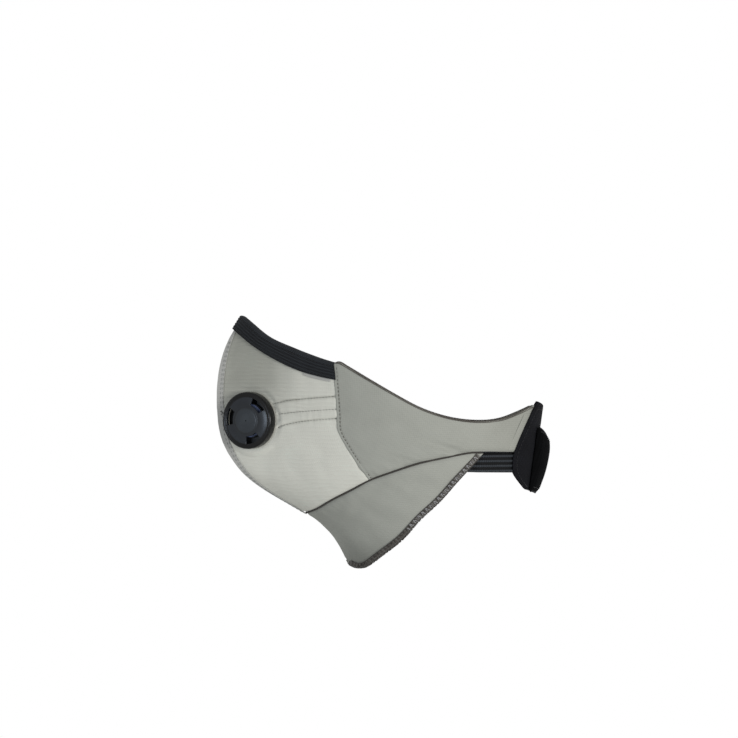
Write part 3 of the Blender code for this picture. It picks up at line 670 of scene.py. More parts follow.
# Plain-woven cotton and polyester shirting, piece dyed: darker flat grey, dry surface.
# Threads lie 0.35 mm apart; the drawn grid is 1.3 mm, the finest that shows.
weaveLooks = {
    "roughness": 0.92, "ior": 1.5, "sheen": 0.16, "sheenTint": "#dcdedb",
    "wander": 22.0, "wanderBy": 1.4, "fibre": 0.8, "blotch": 19.0,
    "threads": ((1, 0, 1.3, 0.16), (0, 1, 1.3, 0.16), (0.7, 0.7, 3.1, 0.05)),
    "fuzz": 0.9, "mottle": 0.24, "shade": 0.20, "bump": 0.6, "relief": 0.16,
    "colours": ((0.0, "#6c6d67"), (0.5, "#96978f"), (1.0, "#adaea6"))}
sideWeave = clothMaterial("plainWovenPolycotton", weaveLooks)
# The chin piece is the same cloth, with painted shade: darker towards its lower front, under the
# jaw.
chinWeave = clothMaterial("plainWovenPolycottonChin", {
    **weaveLooks, "paintedShade": {"across": (120.0, 40.0), "up": (34.0, 6.0), "tint": "#d2d2d1"}})

# Knitted elastic with covered rubber cores: black with greyer rib crests, slight shine.
# Cloth coordinates on every elastic put one rib crest to each 2.9 mm across.
ribSpacing = 2.9
elasticLooks = {
    "roughness": 0.72, "ior": 1.5, "sheen": 0.03, "specular": 0.2, "sheenTint": "#9aa0a6",
    "wander": 30.0, "wanderBy": 0.5, "fibre": 0.7, "blotch": 12.0,
    "threads": ((0, 1, ribSpacing, 0.62), (1, 0.9, 1.6, 0.2), (1, -0.9, 1.6, 0.2)),
    "fuzz": 0.7, "mottle": 0.15, "shade": 0.36, "bump": 0.7, "relief": 0.14,
    "colours": ((0.0, "#050506"), (0.45, "#0f1012"), (1.0, "#474c52"))}
elasticKnit = clothMaterial("knittedRubberElastic", elasticLooks)
# The fold-over kind on the nose edge is closer knitted, with flatter ribs.
foldKnit = clothMaterial("knittedFoldOverElastic", {
    **elasticLooks, "threads": ((0, 1, ribSpacing, 0.22), (1, 0.9, 1.6, 0.26),
                                (1, -0.9, 1.6, 0.26))})

# Cotton bias tape, bleached and tinted: cool lilac grey, dense twill lines at 1.2 mm.
seamTape = clothMaterial("cottonTwillTape", {
    "roughness": 0.86, "ior": 1.5, "sheen": 0.15, "sheenTint": "#e6e6ea",
    "wander": 26.0, "wanderBy": 0.6, "fibre": 0.7, "blotch": 14.0,
    "threads": ((1, 1, 1.2, 0.28), (1, -0.1, 2.4, 0.06)),
    "fuzz": 0.7, "mottle": 0.22, "shade": 0.22, "bump": 0.6, "relief": 0.14,
    "colours": ((0.0, "#7c7b77"), (0.5, "#a8a7a2"), (1.0, "#c3c2bd"))})

# Needle-punched polypropylene felt: white, no weave, a tangle of fibres 1 mm long.
filterFelt = clothMaterial("needledPolypropyleneFelt", {
    "roughness": 0.97, "ior": 1.49, "sheen": 0.3, "sheenTint": "#ffffff",
    "wander": 7.0, "wanderBy": 4.0, "fibre": 1.1, "blotch": 9.0,
    "threads": ((0.6, 0.8, 4.2, 0.10), (0.8, -0.6, 5.0, 0.10)),
    "fuzz": 1.4, "mottle": 0.25, "shade": 0.16, "bump": 0.8, "relief": 0.3,
    "colours": ((0.0, "#c9c8c2"), (0.5, "#e6e5e0"), (1.0, "#f4f3ef"))})

# Woven nylon patch cloth, coated behind: almost black, fine upright cords.
patchLooks = {
    "roughness": 0.85, "ior": 1.53, "sheen": 0.02, "specular": 0.1, "sheenTint": "#8a8f98",
    "wander": 30.0, "wanderBy": 1.2, "fibre": 0.8, "blotch": 9.0,
    "threads": ((1, 0.15, 1.9, 0.30), (0, 1, 1.2, 0.14)),
    "fuzz": 1.0, "mottle": 0.35, "shade": 0.24, "bump": 0.7, "relief": 0.2}
patchNylon = clothMaterial("wovenNylonPatch", {
    **patchLooks, "colours": ((0.0, "#060607"), (0.5, "#101014"), (1.0, "#26282e"))})
# The tab is the same cloth from a deeper dye bath.
tabNylon = clothMaterial("wovenNylonTab", {
    **patchLooks, "specular": 0.04,
    "colours": ((0.0, "#020203"), (0.5, "#060607"), (1.0, "#121316"))})

# Brushed nylon loop tape: deep matt black pile that scatters light at its edges.
loopPile = clothMaterial("brushedNylonLoop", {
    "roughness": 0.98, "ior": 1.53, "sheen": 0.08, "specular": 0.1, "sheenTint": "#7c7f86",
    "wander": 4.0, "wanderBy": 2.6, "fibre": 0.6, "blotch": 8.0,
    "threads": ((0.9, 0.5, 1.6, 0.22), (0.4, -0.9, 1.9, 0.22)),
    "fuzz": 1.8, "mottle": 0.3, "shade": 0.20, "bump": 1.0, "relief": 0.45,
    "colours": ((0.0, "#040405"), (0.5, "#0c0c0d"), (1.0, "#1d1e21"))})

# Spun polyester sewing thread, two plies twisted: dull, with a faint spiral shine.
threadLooks = {"roughness": 0.7, "ior": 1.5, "sheen": 0.2, "sheenTint": "#cfcfcf",
               "wander": 9.0, "wanderBy": 0.8, "fibre": 0.5, "blotch": 7.0,
               "threads": ((0.7, 0.7, 0.9, 0.4),), "fuzz": 0.5, "mottle": 0.4,
               "shade": 0.25, "bump": 0.5, "relief": 0.08}
darkThread, brownThread, paleThread, greyThread, blackThread = (
    clothMaterial("spunPolyesterThread" + word,
                  {**threadLooks, "colours": tuple(zip((0.0, 0.5, 1.0), dyes))})
    for word, dyes in (("Dark", ("#1c1917", "#332e2a", "#4c4641")),
                       ("Brown", ("#35302b", "#4d4842", "#6a655d")),
                       ("Pale", ("#6c6c6e", "#949495", "#b8b8b9")),
                       ("Grey", ("#6a6c68", "#868884", "#a0a29d")),
                       ("Black", ("#0b0b0c", "#1b1b1d", "#36373a"))))

# ABS injection-moulded against a fine spark-eroded steel tool: satin black.
absLooks = {"ior": 1.54, "grain": 0.35, "cloud": 9.0, "bump": 0.25, "relief": 0.03}
capPlastic = mouldedMaterial("mouldedAbsSatin", {
    **absLooks, "roughness": (0.22, 0.32), "ringsTo": 18.5,
    "colours": ((0.3, "#e0e0e0"), (0.7, "#ffffff")),
    # painted reflection: a lighter blue grey face; painted shade: a near black rim beyond the
    # windows
    "rings": ((0.0, "#34393e"), (0.42, "#2e3338"), (0.46, "#24272b"), (0.80, "#272b31"),
              (0.84, "#060607"), (1.0, "#040405"))}, Specular_IOR_Level=0.3)
# The ledges inside the cap are the same plastic, unpolished, without the painted reflection and
# shade.
ledgePlastic = mouldedMaterial("mouldedAbsDark", {
    **absLooks, "roughness": (0.36, 0.46), "colours": ((0.3, "#060607"), (0.7, "#0d0e10"))})

# Polypropylene, injection-moulded and unpolished: waxy dark grey, softer highlights.
seatPlastic = mouldedMaterial("mouldedPolypropylene", {
    "ior": 1.49, "roughness": (0.42, 0.55), "grain": 0.5, "cloud": 8.0, "bump": 0.3,
    "relief": 0.04, "colours": ((0.3, "#0d0e10"), (0.7, "#16181b"))})

# Silicone rubber pressed in a polished mould: cloudy blue grey, light passes a little.
flapRubber = mouldedMaterial("pressedSiliconeRubber", {
    "ior": 1.41, "roughness": (0.34, 0.46), "grain": 0.6, "cloud": 6.0, "bump": 0.15,
    "relief": 0.03, "colours": ((0.3, "#3c4660"), (0.7, "#566180"))},
    Subsurface_Weight=0.25, Subsurface_Scale=0.001, Subsurface_Radius=(1.0, 1.0, 1.2))

# Soft annealed aluminium strip, rolled: dull silver with fine lengthwise mill lines.
clipMetal = mouldedMaterial("rolledAnnealedAluminium", {
    "ior": 1.5, "roughness": (0.34, 0.46), "grain": 0.5, "stretch": (0.08, 0.08, 1.6),
    "cloud": 12.0, "bump": 0.3, "relief": 0.03,
    "colours": ((0.3, "#b6b9bc"), (0.7, "#cfd1d3"))}, Metallic=1.0)

# Hook tape: extruded nylon hooks on a woven ground, black and slightly shiny.
hookNylon = mouldedMaterial("extrudedNylonHooks", {
    "ior": 1.53, "roughness": (0.36, 0.5), "grain": 0.6, "cloud": 5.0, "bump": 0.3,
    "relief": 0.05, "colours": ((0.3, "#131315"), (0.7, "#202125"))})

# The hem band is the side cloth again, in a darker colour.
brownCloth = clothMaterial("plainWovenPolycottonHem", {
    **weaveLooks, "sheen": 0.12, "sheenTint": "#cfccc6", "blotch": 15.0, "mottle": 0.3,
    "shade": 0.22, "threads": ((1, 0, 1.3, 0.16), (0, 1, 1.3, 0.16)),
    "colours": ((0.0, "#3d3b38"), (0.5, "#605e5a"), (1.0, "#82807b"))})
print("materials ready")


# Where the finest sewing lies on the cup, as (y, z) lines seen from the side.
cup = {
    "thick": 1.5, "step": 0.62, "startX": 0.75, "ribSpacing": 2.6, "ribHeight": 0.15,
    "rearCorner": (-43.4, 46.4), "tuck": 1.6,
    # each crease with its lift to one side and its depth
    "creases": (("upperDart", 0.9, 1.05), ("lowerDart", -0.9, 0.95), ("middleSeam", 0.0, 0.35)),
    "upperDart": ((-84, 23.0), (-78, 24.6), (-72.8, 25.8), (-39.6, 28.8)),
    "middleSeam": ((-79, 17), (-62.4, 18.8), (-39.6, 20.4)),
    "lowerDart": ((-86, 2.6), (-82.6, 6.2), (-76, 9.6), (-62.4, 12.4), (-39.6, 14.4)),
    "valveArc": ((-82, 23.6), (-80.6, 19), (-80.2, 14), (-81.4, 8.6)),
}


def lineHeight(line, y):
    curve = evenly(line, 80)
    return np.interp(y, curve[:, 0], curve[:, 1])


def pinch(distance, width):
    return np.exp(-(distance / width) ** 2)


def cupPlaces():
    top = onSurface(lines["noseEdge"]) - (0, 0.5)
    low = onSurface(lines["chinSeamFront"], shift=(0.0, 0.3))
    rear = onSurface(lines["cupSeam"][:-1] + (cup["rearCorner"],), shift=(cup["tuck"], 0.0))
    front = uprightEdge(low[0, 1], top[0, 1], cup["startX"], 0.0, 0.5)
    return panelPlaces(front, rear, low, top, cup["step"])


def makeCups():
    places = cupPlaces()
    base = lifted(places, 0.0)
    front, rear, low, _ = edgeDistances(base)
    u, v = np.moveaxis(clothPlace(places), -1, 0)
    y, z = base[..., 1], base[..., 2]
    away = fromValve(base)
    clear = fade((away - 18.4) / 2.4) * fade(front / 5)
    middle = 0.32 * softNoise(u, v, 17) + 0.16 * softNoise(u, v, 8, 1)
    # puckers along the front tape, and creases that run from the valve to the cheek
    middle += 0.16 * softNoise(u * 0.3, v, 3.4, 2) * pinch(front - 4, 5)
    middle += 0.16 * softNoise(u * 0.35, v, 3.0, 3) * pinch(rear - 3, 6)
    behind = fade((y + 86) / 3) * fade((-40 - y) / 3 + 1)
    for name, lift, depth in cup["creases"]:
        gap = z - lineHeight(cup[name], y)
        middle -= depth * pinch(gap, 0.75) * behind
        inside = pinch(gap + math.copysign(2.6, lift), 2.6) if lift else 0 * gap
        middle += abs(lift) * 0.55 * inside * behind
        middle += 0.12 * softNoise(u, v * 0.3, 2.6, 4) * pinch(gap, 3.5) * behind
    arcY = np.interp(z, *np.array(cup["valveArc"][::-1]).T[::-1])
    middle -= 0.5 * pinch(y - arcY, 0.7) * fade((z - 7) / 2) * fade((25 - z) / 2)
    middle += 0.3 * pinch(away - 23, 2.2) * (0.6 + 0.4 * softNoise(u, v, 4, 5))
    middle *= clear
    # the edges are pulled in where they are sewn, and run under the side panel
    middle -= 0.9 * pinch(low, 1.7) + 1.5 * fade((3.4 - rear) / 3.4)
    wave = z + 0.8 * softNoise(u, z, 13, 6) + 0.3 * softNoise(u, z, 5, 7)
    ribbed = fade((z - 6) / 16) * (0.25 + 0.75 * fade((-50 - y) / 26)) + 0.16
    grain = cup["ribHeight"] * np.sin(2 * math.pi * wave / cup["ribSpacing"]) * ribbed * clear
    return addPanels("cup_cloth_*", places, cup["thick"], middle, cupKnit, "cup_cloth",
                     "mask_front", ["cup_panel_*"], hole=valveHole, grain=grain,
                     uv=np.stack([u, wave], -1))


cups = makeCups()
print("cups sewn")

# The side cloth runs in one piece from the cup to the patch at the back of the head.
sideCloth = {"thick": 1.6, "step": 0.85, "overlap": 0.2, "foldStitch": 2.5}


def sidePlaces():
    high = onSurface(lines["sideTop"], 260)
    low = onSurface(lines["chinSeamRear"] + lines["wingLow"], 260, (0.0, 0.3))
    front = onSurface(lines["cupSeam"], shift=(-sideCloth["overlap"], 0.0))
    return panelPlaces(front, onSurface(lines["wingEnd"]), low, high, sideCloth["step"])


def makeSides():
    places = sidePlaces()
    base = lifted(places, 0.0)
    front, rear, low, high = edgeDistances(base)
    u, v = np.moveaxis(clothPlace(places), -1, 0)
    y = base[..., 1]
    middle = 0.38 * softNoise(u, v, 21, 8) + 0.14 * softNoise(u, v, 7, 9)
    # soft diagonal pulls above the chin seam, and shallow ones towards the strap
    pulls = softNoise(u * 0.45 + v, u * 0.18, 5.2, 10)
    middle += 1.15 * pulls * pinch(low - 7, 9) * fade((y + 34) / 14) * fade((62 - y) / 24)
    middle += 0.22 * softNoise(v, u * 0.15, 4.4, 11) * fade((y - 8) / 25)
    middle += 0.1 * pinch(front - 0.9, 1.3) - 0.3 * pinch(front - sideCloth["foldStitch"], 0.5)
    middle += 0.16 * fade((7.0 - front) / 7.0)
    middle -= 0.95 * pinch(low, 1.7) + 0.12 * pinch(high - 2.0, 0.8)
    middle += 0.18 * softNoise(u, v * 0.25, 3.1, 12) * pinch(low - 3, 4)
    middle *= fade((rear - 2) / 6) * 0.85 + 0.15
    return addPanels("side_cloth_*", places, sideCloth["thick"], middle, sideWeave,
                     "side_cloth", replaces=["side_panel_*", "rear_wing_*"])


sides = makeSides()
print("side cloths sewn")

# The chin cloth is one piece across both jaws, with an overlocked lower hem.
chin = {"thick": 1.6, "step": 0.95}


def chinPlaces():
    tip = lines["chinTip"]
    high = onSurface(lines["chinSeamFront"] + lines["chinSeamRear"][1:] + (tip,), 260,
                     (0.0, -0.3))
    low = onSurface(lines["chinHem"], 260)
    front = uprightEdge(low[0, 1], high[0, 1], 0.0, 0.0, 0.5)
    rear = onSurface((lines["chinHem"][-1], tip), shift=(0.0, -0.3))
    return panelPlaces(front, rear, low, high, chin["step"])


def makeChin():
    places = chinPlaces()
    _, rear, low, high = edgeDistances(lifted(places, 0.0))
    u, v = np.moveaxis(clothPlace(places), -1, 0)
    middle = 0.45 * softNoise(u, v, 23, 13) + 0.18 * softNoise(u, v, 9, 14)
    middle += 0.6 * softNoise(v - 0.5 * u, u * 0.2, 6.0, 15) * pinch(high - 8, 9)
    middle -= 0.95 * pinch(high, 1.7) - 0.15 * softNoise(u, v * 0.3, 3.2, 16) * pinch(high - 3, 4)
    middle -= 0.35 * pinch(low - 3.6, 0.9)
    middle *= fade(rear / 5)
    mesh = panelMesh("chin_cloth", places, chin["thick"], middle, crossing=True)
    return addPiece("chin_cloth", mesh, chinWeave, "mask_front", ["chin_panel"])


chinCloth = makeChin()
print("chin cloth sewn")

# Filter felt inside the cup, clamped by both valve seats.
felt = {"thick": 1.2, "step": 1.3, "under": 2.3,
        "top": ((-107, 66), (-78, 47), (-50, 34)),
        "low": ((-79, -33.5), (-54, -29), (-30, -18)),
        "rear": ((-30, -18), (-42, -2), (-48, 14), (-50, 34))}


def filterPlaces():
    high, low, rear = (onSurface(felt[name]) for name in ("top", "low", "rear"))
    front = uprightEdge(low[0, 1], high[0, 1], 0.0, 0.0, 0.5)
    return panelPlaces(front, rear, low, high, felt["step"])


def makeFilter():
    places = filterPlaces()
    u, v = np.moveaxis(clothPlace(places), -1, 0)
    soft = np.minimum(0.25 * softNoise(u, v, 9, 17), 0.1)
    middle = -felt["under"] + soft * fade((fromValve(lifted(places, 0.0)) - 15) / 4)
    mesh = panelMesh("filter_felt", places, felt["thick"], middle, crossing=True,
                     hole=valveHole)
    return addPiece("filter_felt", mesh, filterFelt, "mask_front", ["filter"])


filterPiece = makeFilter()
print("filter cut")


# Front seam tape over the crease between the cups, held by one dark bar tack.
tape = {"halfWidth": 1.7, "narrow": 0.74, "narrowFrom": 2.0, "narrowTo": 30.0, "thick": 0.5,
        "over": 1.02, "low": -47.2, "high": 74.0, "stitchRows": (0.30, 0.88),
        "stitchPitch": 3.0, "stitchLength": 1.9, "thread": 0.19,
        "tackX": (0.108, 2.088), "tackZ": (16.6, 18.9), "tackOver": 0.15, "tackThread": 0.24}


def tapeMiddle(z):
    return tape["over"] - 0.1 * fade((z - 64) / 6)


def makeTape():
    edge = uprightEdge(tape["low"], tape["high"], tape["halfWidth"], 0.0, 0.5, 240)
    z = edge[:, 1]
    rise = (z - tape["narrowFrom"]) / (tape["narrowTo"] - tape["narrowFrom"])
    edge[:, 0] *= 1 - (1 - tape["narrow"]) * fade(rise)
    shares = np.array((0, 0.12, 0.35, 0.6, 0.8, 0.9, 0.96, 1.0))
    turn = shares[:, None] * edge[None, :, 0]
    places = np.stack([turn, np.broadcast_to(z, turn.shape)], -1)
    middle = tapeMiddle(places[..., 1]) + 0.05 * softNoise(turn * 60, places[..., 1], 3.2, 18)
    mesh = panelMesh("front_tape", places, tape["thick"], middle, crossing=True)
    addPiece("front_tape", mesh, seamTape, "mask_front", ["front_seam_tape"])
    parts = []
    for share in tape["stitchRows"]:
        line = np.column_stack([edge[:, 0] * share, z])[4:-22]
        points = lifted(line, tapeMiddle(line[:, 1]) + tape["thick"] / 2)
        parts += stitchParts(points, normalsAt(line), tape["thread"], tape["stitchPitch"],
                             tape["stitchLength"])
    addParts("front_tape_stitches", parts, greyThread)
    parts = []
    for ends in (tape["tackZ"][::-1], tape["tackZ"]):
        z = np.linspace(*ends, 7)
        line = np.column_stack([turnAtX(np.linspace(*tape["tackX"], 7), z, 0.0, 0.5), z])
        points = lifted(line, tape["over"] + tape["thick"] / 2 + tape["tackOver"])
        parts.append(tubeParts(points, normalsAt(line), tape["tackThread"]))
    addParts("front_tape_tack", parts, darkThread)


makeTape()
print("front tape sewn")


# Nose binding: ribbed elastic folded over the upper edge, with a return inside.
binding = {"thick": 1.0, "outer": 2.0, "inner": -3.3, "returnShare": 0.55, "ribs": 5,
           "ribHeight": 0.13, "foldFrom": 0.96, "foldRise": 0.9,
           "lowCorner": (-40.9, 39.2), "highCorner": (-42.0, 48.8),
           "stitchRows": (0.12, 0.9), "stitch": (0.17, 2.6, 1.7)}   # thread, pitch, length

# Lilac facing that shows under the rear end of the binding.
facing = {"low": ((-62, 42.3), (-52.7, 39.6), (-44.5, 37.9)), "thick": 0.7, "over": 1.15,
          "high": ((-62, 44.6), (-52.7, 42.0), (-44.5, 40.4))}


def makeBinding():
    low = onSurface(lines["bindingLow"][:-1] + (binding["lowCorner"],), 150)
    high = onSurface(lines["noseEdge"][:-1] + (binding["highCorner"],), 150)
    low[0, 0] = high[0, 0] = 0.0
    top = lifted(high, 0.0)
    width = np.linalg.norm(top - lifted(low, 0.0), axis=1)
    upward = unit(top - lifted(low + (high - low) * 0.9, 0.0))
    upward[0, 0] = 0.0
    fold = binding["foldFrom"]
    legOut = np.linspace(0, fold, 46)
    legIn = np.linspace(fold, 1 - binding["returnShare"], 18)
    turnOver = np.linspace(0, math.pi, 11)[1:-1]
    centre = (binding["outer"] + binding["inner"]) / 2
    reach = (binding["outer"] - binding["inner"]) / 2
    half = binding["thick"] / 2
    layers = []
    for sign in (1, -1):
        rows = []
        for share in legOut:
            rib = binding["ribHeight"] * math.cos(2 * math.pi * binding["ribs"] * share)
            rounded = math.sqrt(1 - (1 - min(share / 0.05, 1)) ** 2) * 0.75 + 0.25
            height = binding["outer"] + sign * half * rounded + (rib if sign > 0 else 0)
            rows.append(lifted(low + (high - low) * share, height))
        for angle in turnOver:
            rise = (binding["foldRise"] + sign * half + (1 - fold) * width) * math.sin(angle)
            height = centre + (reach + sign * half) * math.cos(angle)
            rows.append(lifted(low + (high - low) * fold, height) + upward * rise[:, None])
        for share in legIn:
            rows.append(lifted(low + (high - low) * share, binding["inner"] - sign * half))
        layers.append(wholeFromHalf(np.stack(rows, 1)))
    run = clothPlace(high)[:, 0]
    rows = np.concatenate([legOut, np.ones(len(turnOver)), legIn])
    down = (rows * binding["ribs"] + 0.25) * ribSpacing
    uv = np.stack(np.broadcast_arrays(np.concatenate([-run[:0:-1], run])[:, None],
                                      down[None]), -1)
    addPiece("nose_edge_binding", shellMesh("nose_edge_binding", *layers, uv), foldKnit,
             "mask_front", ["nose_binding"])
    parts = []
    for share in binding["stitchRows"]:
        line = low + (high - low) * share
        points = lifted(line, binding["outer"] + half + stitchLift)[2:-2]
        parts += stitchParts(points, normalsAt(line)[2:-2], *binding["stitch"])
    addParts("nose_binding_stitches", parts, blackThread)
    under, above = onSurface(facing["low"], 60), onSurface(facing["high"], 60)
    places = np.stack([under * (1 - s) + above * s for s in (0, 0.15, 0.4, 0.7, 1.0)], 1)
    addPanels("binding_facing_*", places, facing["thick"], facing["over"], seamTape,
              "seam_tape", "mask_front")


makeBinding()
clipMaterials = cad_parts["nose_clip"].data.materials
clipMaterials.clear()
clipMaterials.append(clipMetal)
print("nose binding sewn")


# Overlocked edges: needle thread on the cloth and two looper threads round the edge.
overlock = {"hemWidth": 3.2, "hemPitch": 3.4, "thread": 0.27, "over": 1.05, "paleFrom": 0.42,
            "needles": (0.02, 0.99), "needleThread": 0.26, "topWidth": 0.7, "topPitch": 2.2,
            "topThread": 0.13, "topNeedle": 0.16, "topRim": 0.4}


def bandPoints(edge, inner, along, across, height):
    # points on the band between an edge and its inner line; along and across are shares
    at = np.linspace(0, 1, len(edge))
    ends = [np.column_stack([np.interp(along, at, line[:, k]) for k in (0, 1)])
            for line in (edge, inner)]
    places = ends[0] + (ends[1] - ends[0]) * np.clip(across, 0, None)[:, None]
    points = lifted(places, height)
    outward = unit(lifted(ends[0], 0.0) - lifted(ends[1], 0.0))
    return points + outward * np.clip(-across, 0, None)[:, None] * 3.0


def looperParts(edge, inner, pitch, thread, over, phase=0.0):
    # a looper thread: up the face to the needle line, back over the edge and under it
    length = lengthOf(edge)
    count = int(length / pitch)
    cycle = ((0.0, 0.99, over * 0.95), (0.16, 0.72, over + 0.14), (0.34, 0.3, over + 0.1),
             (0.46, -0.13, 0.35), (0.5, -0.17, -0.25), (0.55, 0.1, -over - 0.05),
             (0.66, 0.32, -over - 0.1), (0.78, 0.08, -over - 0.05), (0.82, -0.17, -0.25),
             (0.86, -0.13, 0.35), (0.92, 0.45, over + 0.16), (0.97, 0.8, over + 0.1))
    stations = [((i + phase + a) / count, w, h) for i in range(count) for a, w, h in cycle]
    stations = np.array([row for row in stations if 0.004 < row[0] < 0.996])
    points = bandPoints(edge, inner, stations[:, 0], stations[:, 1], stations[:, 2])
    at = np.linspace(0, 1, len(edge))
    turn, z = (np.interp(stations[:, 0], at, edge[:, k]) for k in (0, 1))
    return tubeParts(points, normalOf(surface, turn, z), thread, 5)


def makeChinHem():
    edge = evenly(lines["chinHem"], 400)
    ahead = unit(np.gradient(edge, axis=0))
    offset = np.column_stack([-ahead[:, 1], ahead[:, 0]])
    low, high = toPlaces(edge), toPlaces(edge + offset * overlock["hemWidth"])
    low[0, 0] = high[0, 0] = 0.0
    # the folded hem band under the loops, darker than the cloth
    shares = np.array((0, 0.08, 0.22, 0.4, 0.6, 0.78, 0.92, 1.0))
    places = np.stack([low * (1 - s) + high * s for s in shares], 1)[::3]
    middle = 0.95 + 0.05 * np.cos(shares * 2 * math.pi)[None, :]
    mesh = panelMesh("chin_hem_band", places, 0.5, np.broadcast_to(middle, places.shape[:2]),
                     crossing=True)
    addPiece("chin_hem_band", mesh, brownCloth, "mask_front")
    split = int(len(low) * overlock["paleFrom"])
    for name, part, material, phase in (("front", slice(0, split + 1), brownThread, 0.0),
                                        ("rear", slice(split, None), paleThread, 0.0),
                                        ("dark", slice(0, None), darkThread, 0.5)):
        parts = [looperParts(low[part], high[part], overlock["hemPitch"],
                             overlock["thread"], overlock["over"] + 0.2, phase)]
        addParts("chin_hem_loops_" + name, parts, material)
    needle = []
    for across in overlock["needles"]:
        line = low + (high - low) * across
        points = lifted(line, overlock["over"] + 0.25)
        needle.append(tubeParts(points[2:-2], normalsAt(line)[2:-2], overlock["needleThread"]))
    addParts("chin_hem_cords", needle, darkThread)


def makeTopEdges():
    edge = evenly(lines["sideTop"], 420)
    ahead = unit(np.gradient(edge, axis=0))
    inside = edge + np.column_stack([ahead[:, 1], -ahead[:, 0]]) * overlock["topWidth"]
    high, low = toPlaces(edge)[2:-3], toPlaces(inside)[2:-3]
    # the needle thread climbs with the cloth at the raised front corner
    raised = 0.55 * fade((edge[2:-3, 0] + 34) / -6)[4:-4, None]
    needle, rim = low[4:-4], high[3:-3]
    parts = [looperParts(high, low, overlock["topPitch"], overlock["topThread"], 1.0, phase)
             for phase in (0.0, 0.5)]
    points = lifted(needle, 0.98) + normalsAt(needle) * raised
    parts.append(tubeParts(points, normalsAt(needle), overlock["topNeedle"]))
    parts.append(tubeParts(lifted(rim, 0.2), normalsAt(rim), overlock["topRim"], 8))
    for side, word in bothSides:
        addParts("side_top_overlock_" + word, parts, brownThread, bend=word,
                 side=side)
makeChinHem()
makeTopEdges()
print("edges overlocked")


# Seams between panels: a dark thick thread lies in the seam under the cup and cheek.
# Each stitch is given as thread, pitch and length.
seams = {"cordRadius": 0.62, "cord": (0.34, 2.1, 1.9), "dart": (0.16, 2.4, 1.7),
         "dartOver": (("upperDart", 0.15), ("lowerDart", 0.1), ("middleSeam", 0.5)),
         "arc": (0.16, 2.0, 1.4), "arcOver": 0.55, "top": (0.17, 2.5, 1.7), "topOver": 0.98,
         "allowance": (-2.4, -2.2, -1.2, 0.0, 1.2, 2.2, 2.4), "allowanceThick": 0.8,
         "allowanceUnder": 1.75}


def makeSeams():
    line = onSurface(lines["chinSeamFront"] + lines["chinSeamRear"][1:]
                     + (lines["chinTip"],), 420)[:-3]
    normals = normalsAt(line)
    line[0, 0] = 0.0
    parts = [tubeParts(lifted(line, -0.05), normals, seams["cordRadius"], 8, 0.8)]
    parts += stitchParts(lifted(line, 0.35), normals, *seams["cord"], 0.16)
    addParts("chin_seam_thread", parts, darkThread)
    # creases of the darts, sewn flat with dark thread; the thread's dark colour also paints the
    # shade along the creases
    parts = []
    for name, height in seams["dartOver"]:
        line = onSurface(cup[name], 90)
        parts += stitchParts(lifted(line, height)[2:-4], normalsAt(line)[2:-4], *seams["dart"])
    addParts("dart_stitches", parts, brownThread)
    line = onSurface(cup["valveArc"], 60)
    parts = stitchParts(lifted(line, seams["arcOver"]), normalsAt(line), *seams["arc"])
    addParts("valve_arc_stitches", parts, greyThread)
    # topstitching behind the folded front edge of the side cloth
    back = sideCloth["foldStitch"] - sideCloth["overlap"]
    line = onSurface([(y + back, z) for y, z in lines["cupSeam"]])
    parts = stitchParts(lifted(line, seams["topOver"])[4:-6], normalsAt(line)[4:-6],
                        *seams["top"])
    addParts("cheek_seam_stitches", parts, brownThread)


def makeAllowances():
    # seam allowances pressed flat on the inside, beside the cheek seams
    curve = evenly(lines["cupSeam"], 120)
    turns = [findTurn(*(curve + (shift, 0)).T) for shift in seams["allowance"]]
    places = np.stack([np.column_stack([turn, curve[:, 1]]) for turn in turns], 0)[:, 3:-3]
    u, v = np.moveaxis(clothPlace(places), -1, 0)
    middle = -seams["allowanceUnder"] + 0.12 * softNoise(u, v, 4, 19)
    addPanels("cheek_allowance_*", places, seams["allowanceThick"], middle, brownCloth,
              "side_cloth", "mask_front")


makeSeams()
makeAllowances()
print("seams stitched")


# Rear elastic: four lengthwise ribs, tucked under the hem and under the end patch.
strap = {"thick": 1.2, "low": -20.8, "high": -8.2, "under": -6.2, "rear": 78.0, "ribs": 4,
         "ribHeight": 0.34, "frontLow": (43.8, -20.4), "frontHigh": (51.4, -6.2)}


def makeStraps():
    rows = np.concatenate([[0, 0.01, 0.03], np.linspace(0.05, 0.95, 49), [0.97, 0.99, 1]])
    lows = onSurface((strap["frontLow"], (strap["rear"], strap["low"])), 120)
    highs = onSurface((strap["frontHigh"], (strap["rear"], strap["under"])), 120)
    places = lows[:, None] * (1 - rows[None, :, None]) + highs[:, None] * rows[None, :, None]
    base = lifted(places, 0.0)
    y, z = base[..., 1], base[..., 2]
    u = clothPlace(places)[..., 0]
    # the front end dips under the hem, and the upper edge under the side cloth
    middle = (-1.7 * (1 - fade((edgeDistances(base)[0] - 1.5) / 6)) - 0.1 * fade((y - 68) / 6)
              + 0.12 * softNoise(u, 0 * u, 14, 20))
    middle -= 1.55 * fade((z - strap["high"] + 1.2) / 1.6)
    ribRun = (z - strap["low"]) / (strap["high"] - strap["low"]) * strap["ribs"]
    addPanels("rear_strap_*", places, strap["thick"], middle, elasticKnit, "ribbed_elastic",
              replaces=["elastic_end_*", "rear_elastic_*"],
              grain=-strap["ribHeight"] * np.cos(2 * math.pi * ribRun),
              uv=np.stack([u, (ribRun - 0.25) * ribSpacing], -1))


makeStraps()
print("straps sewn")


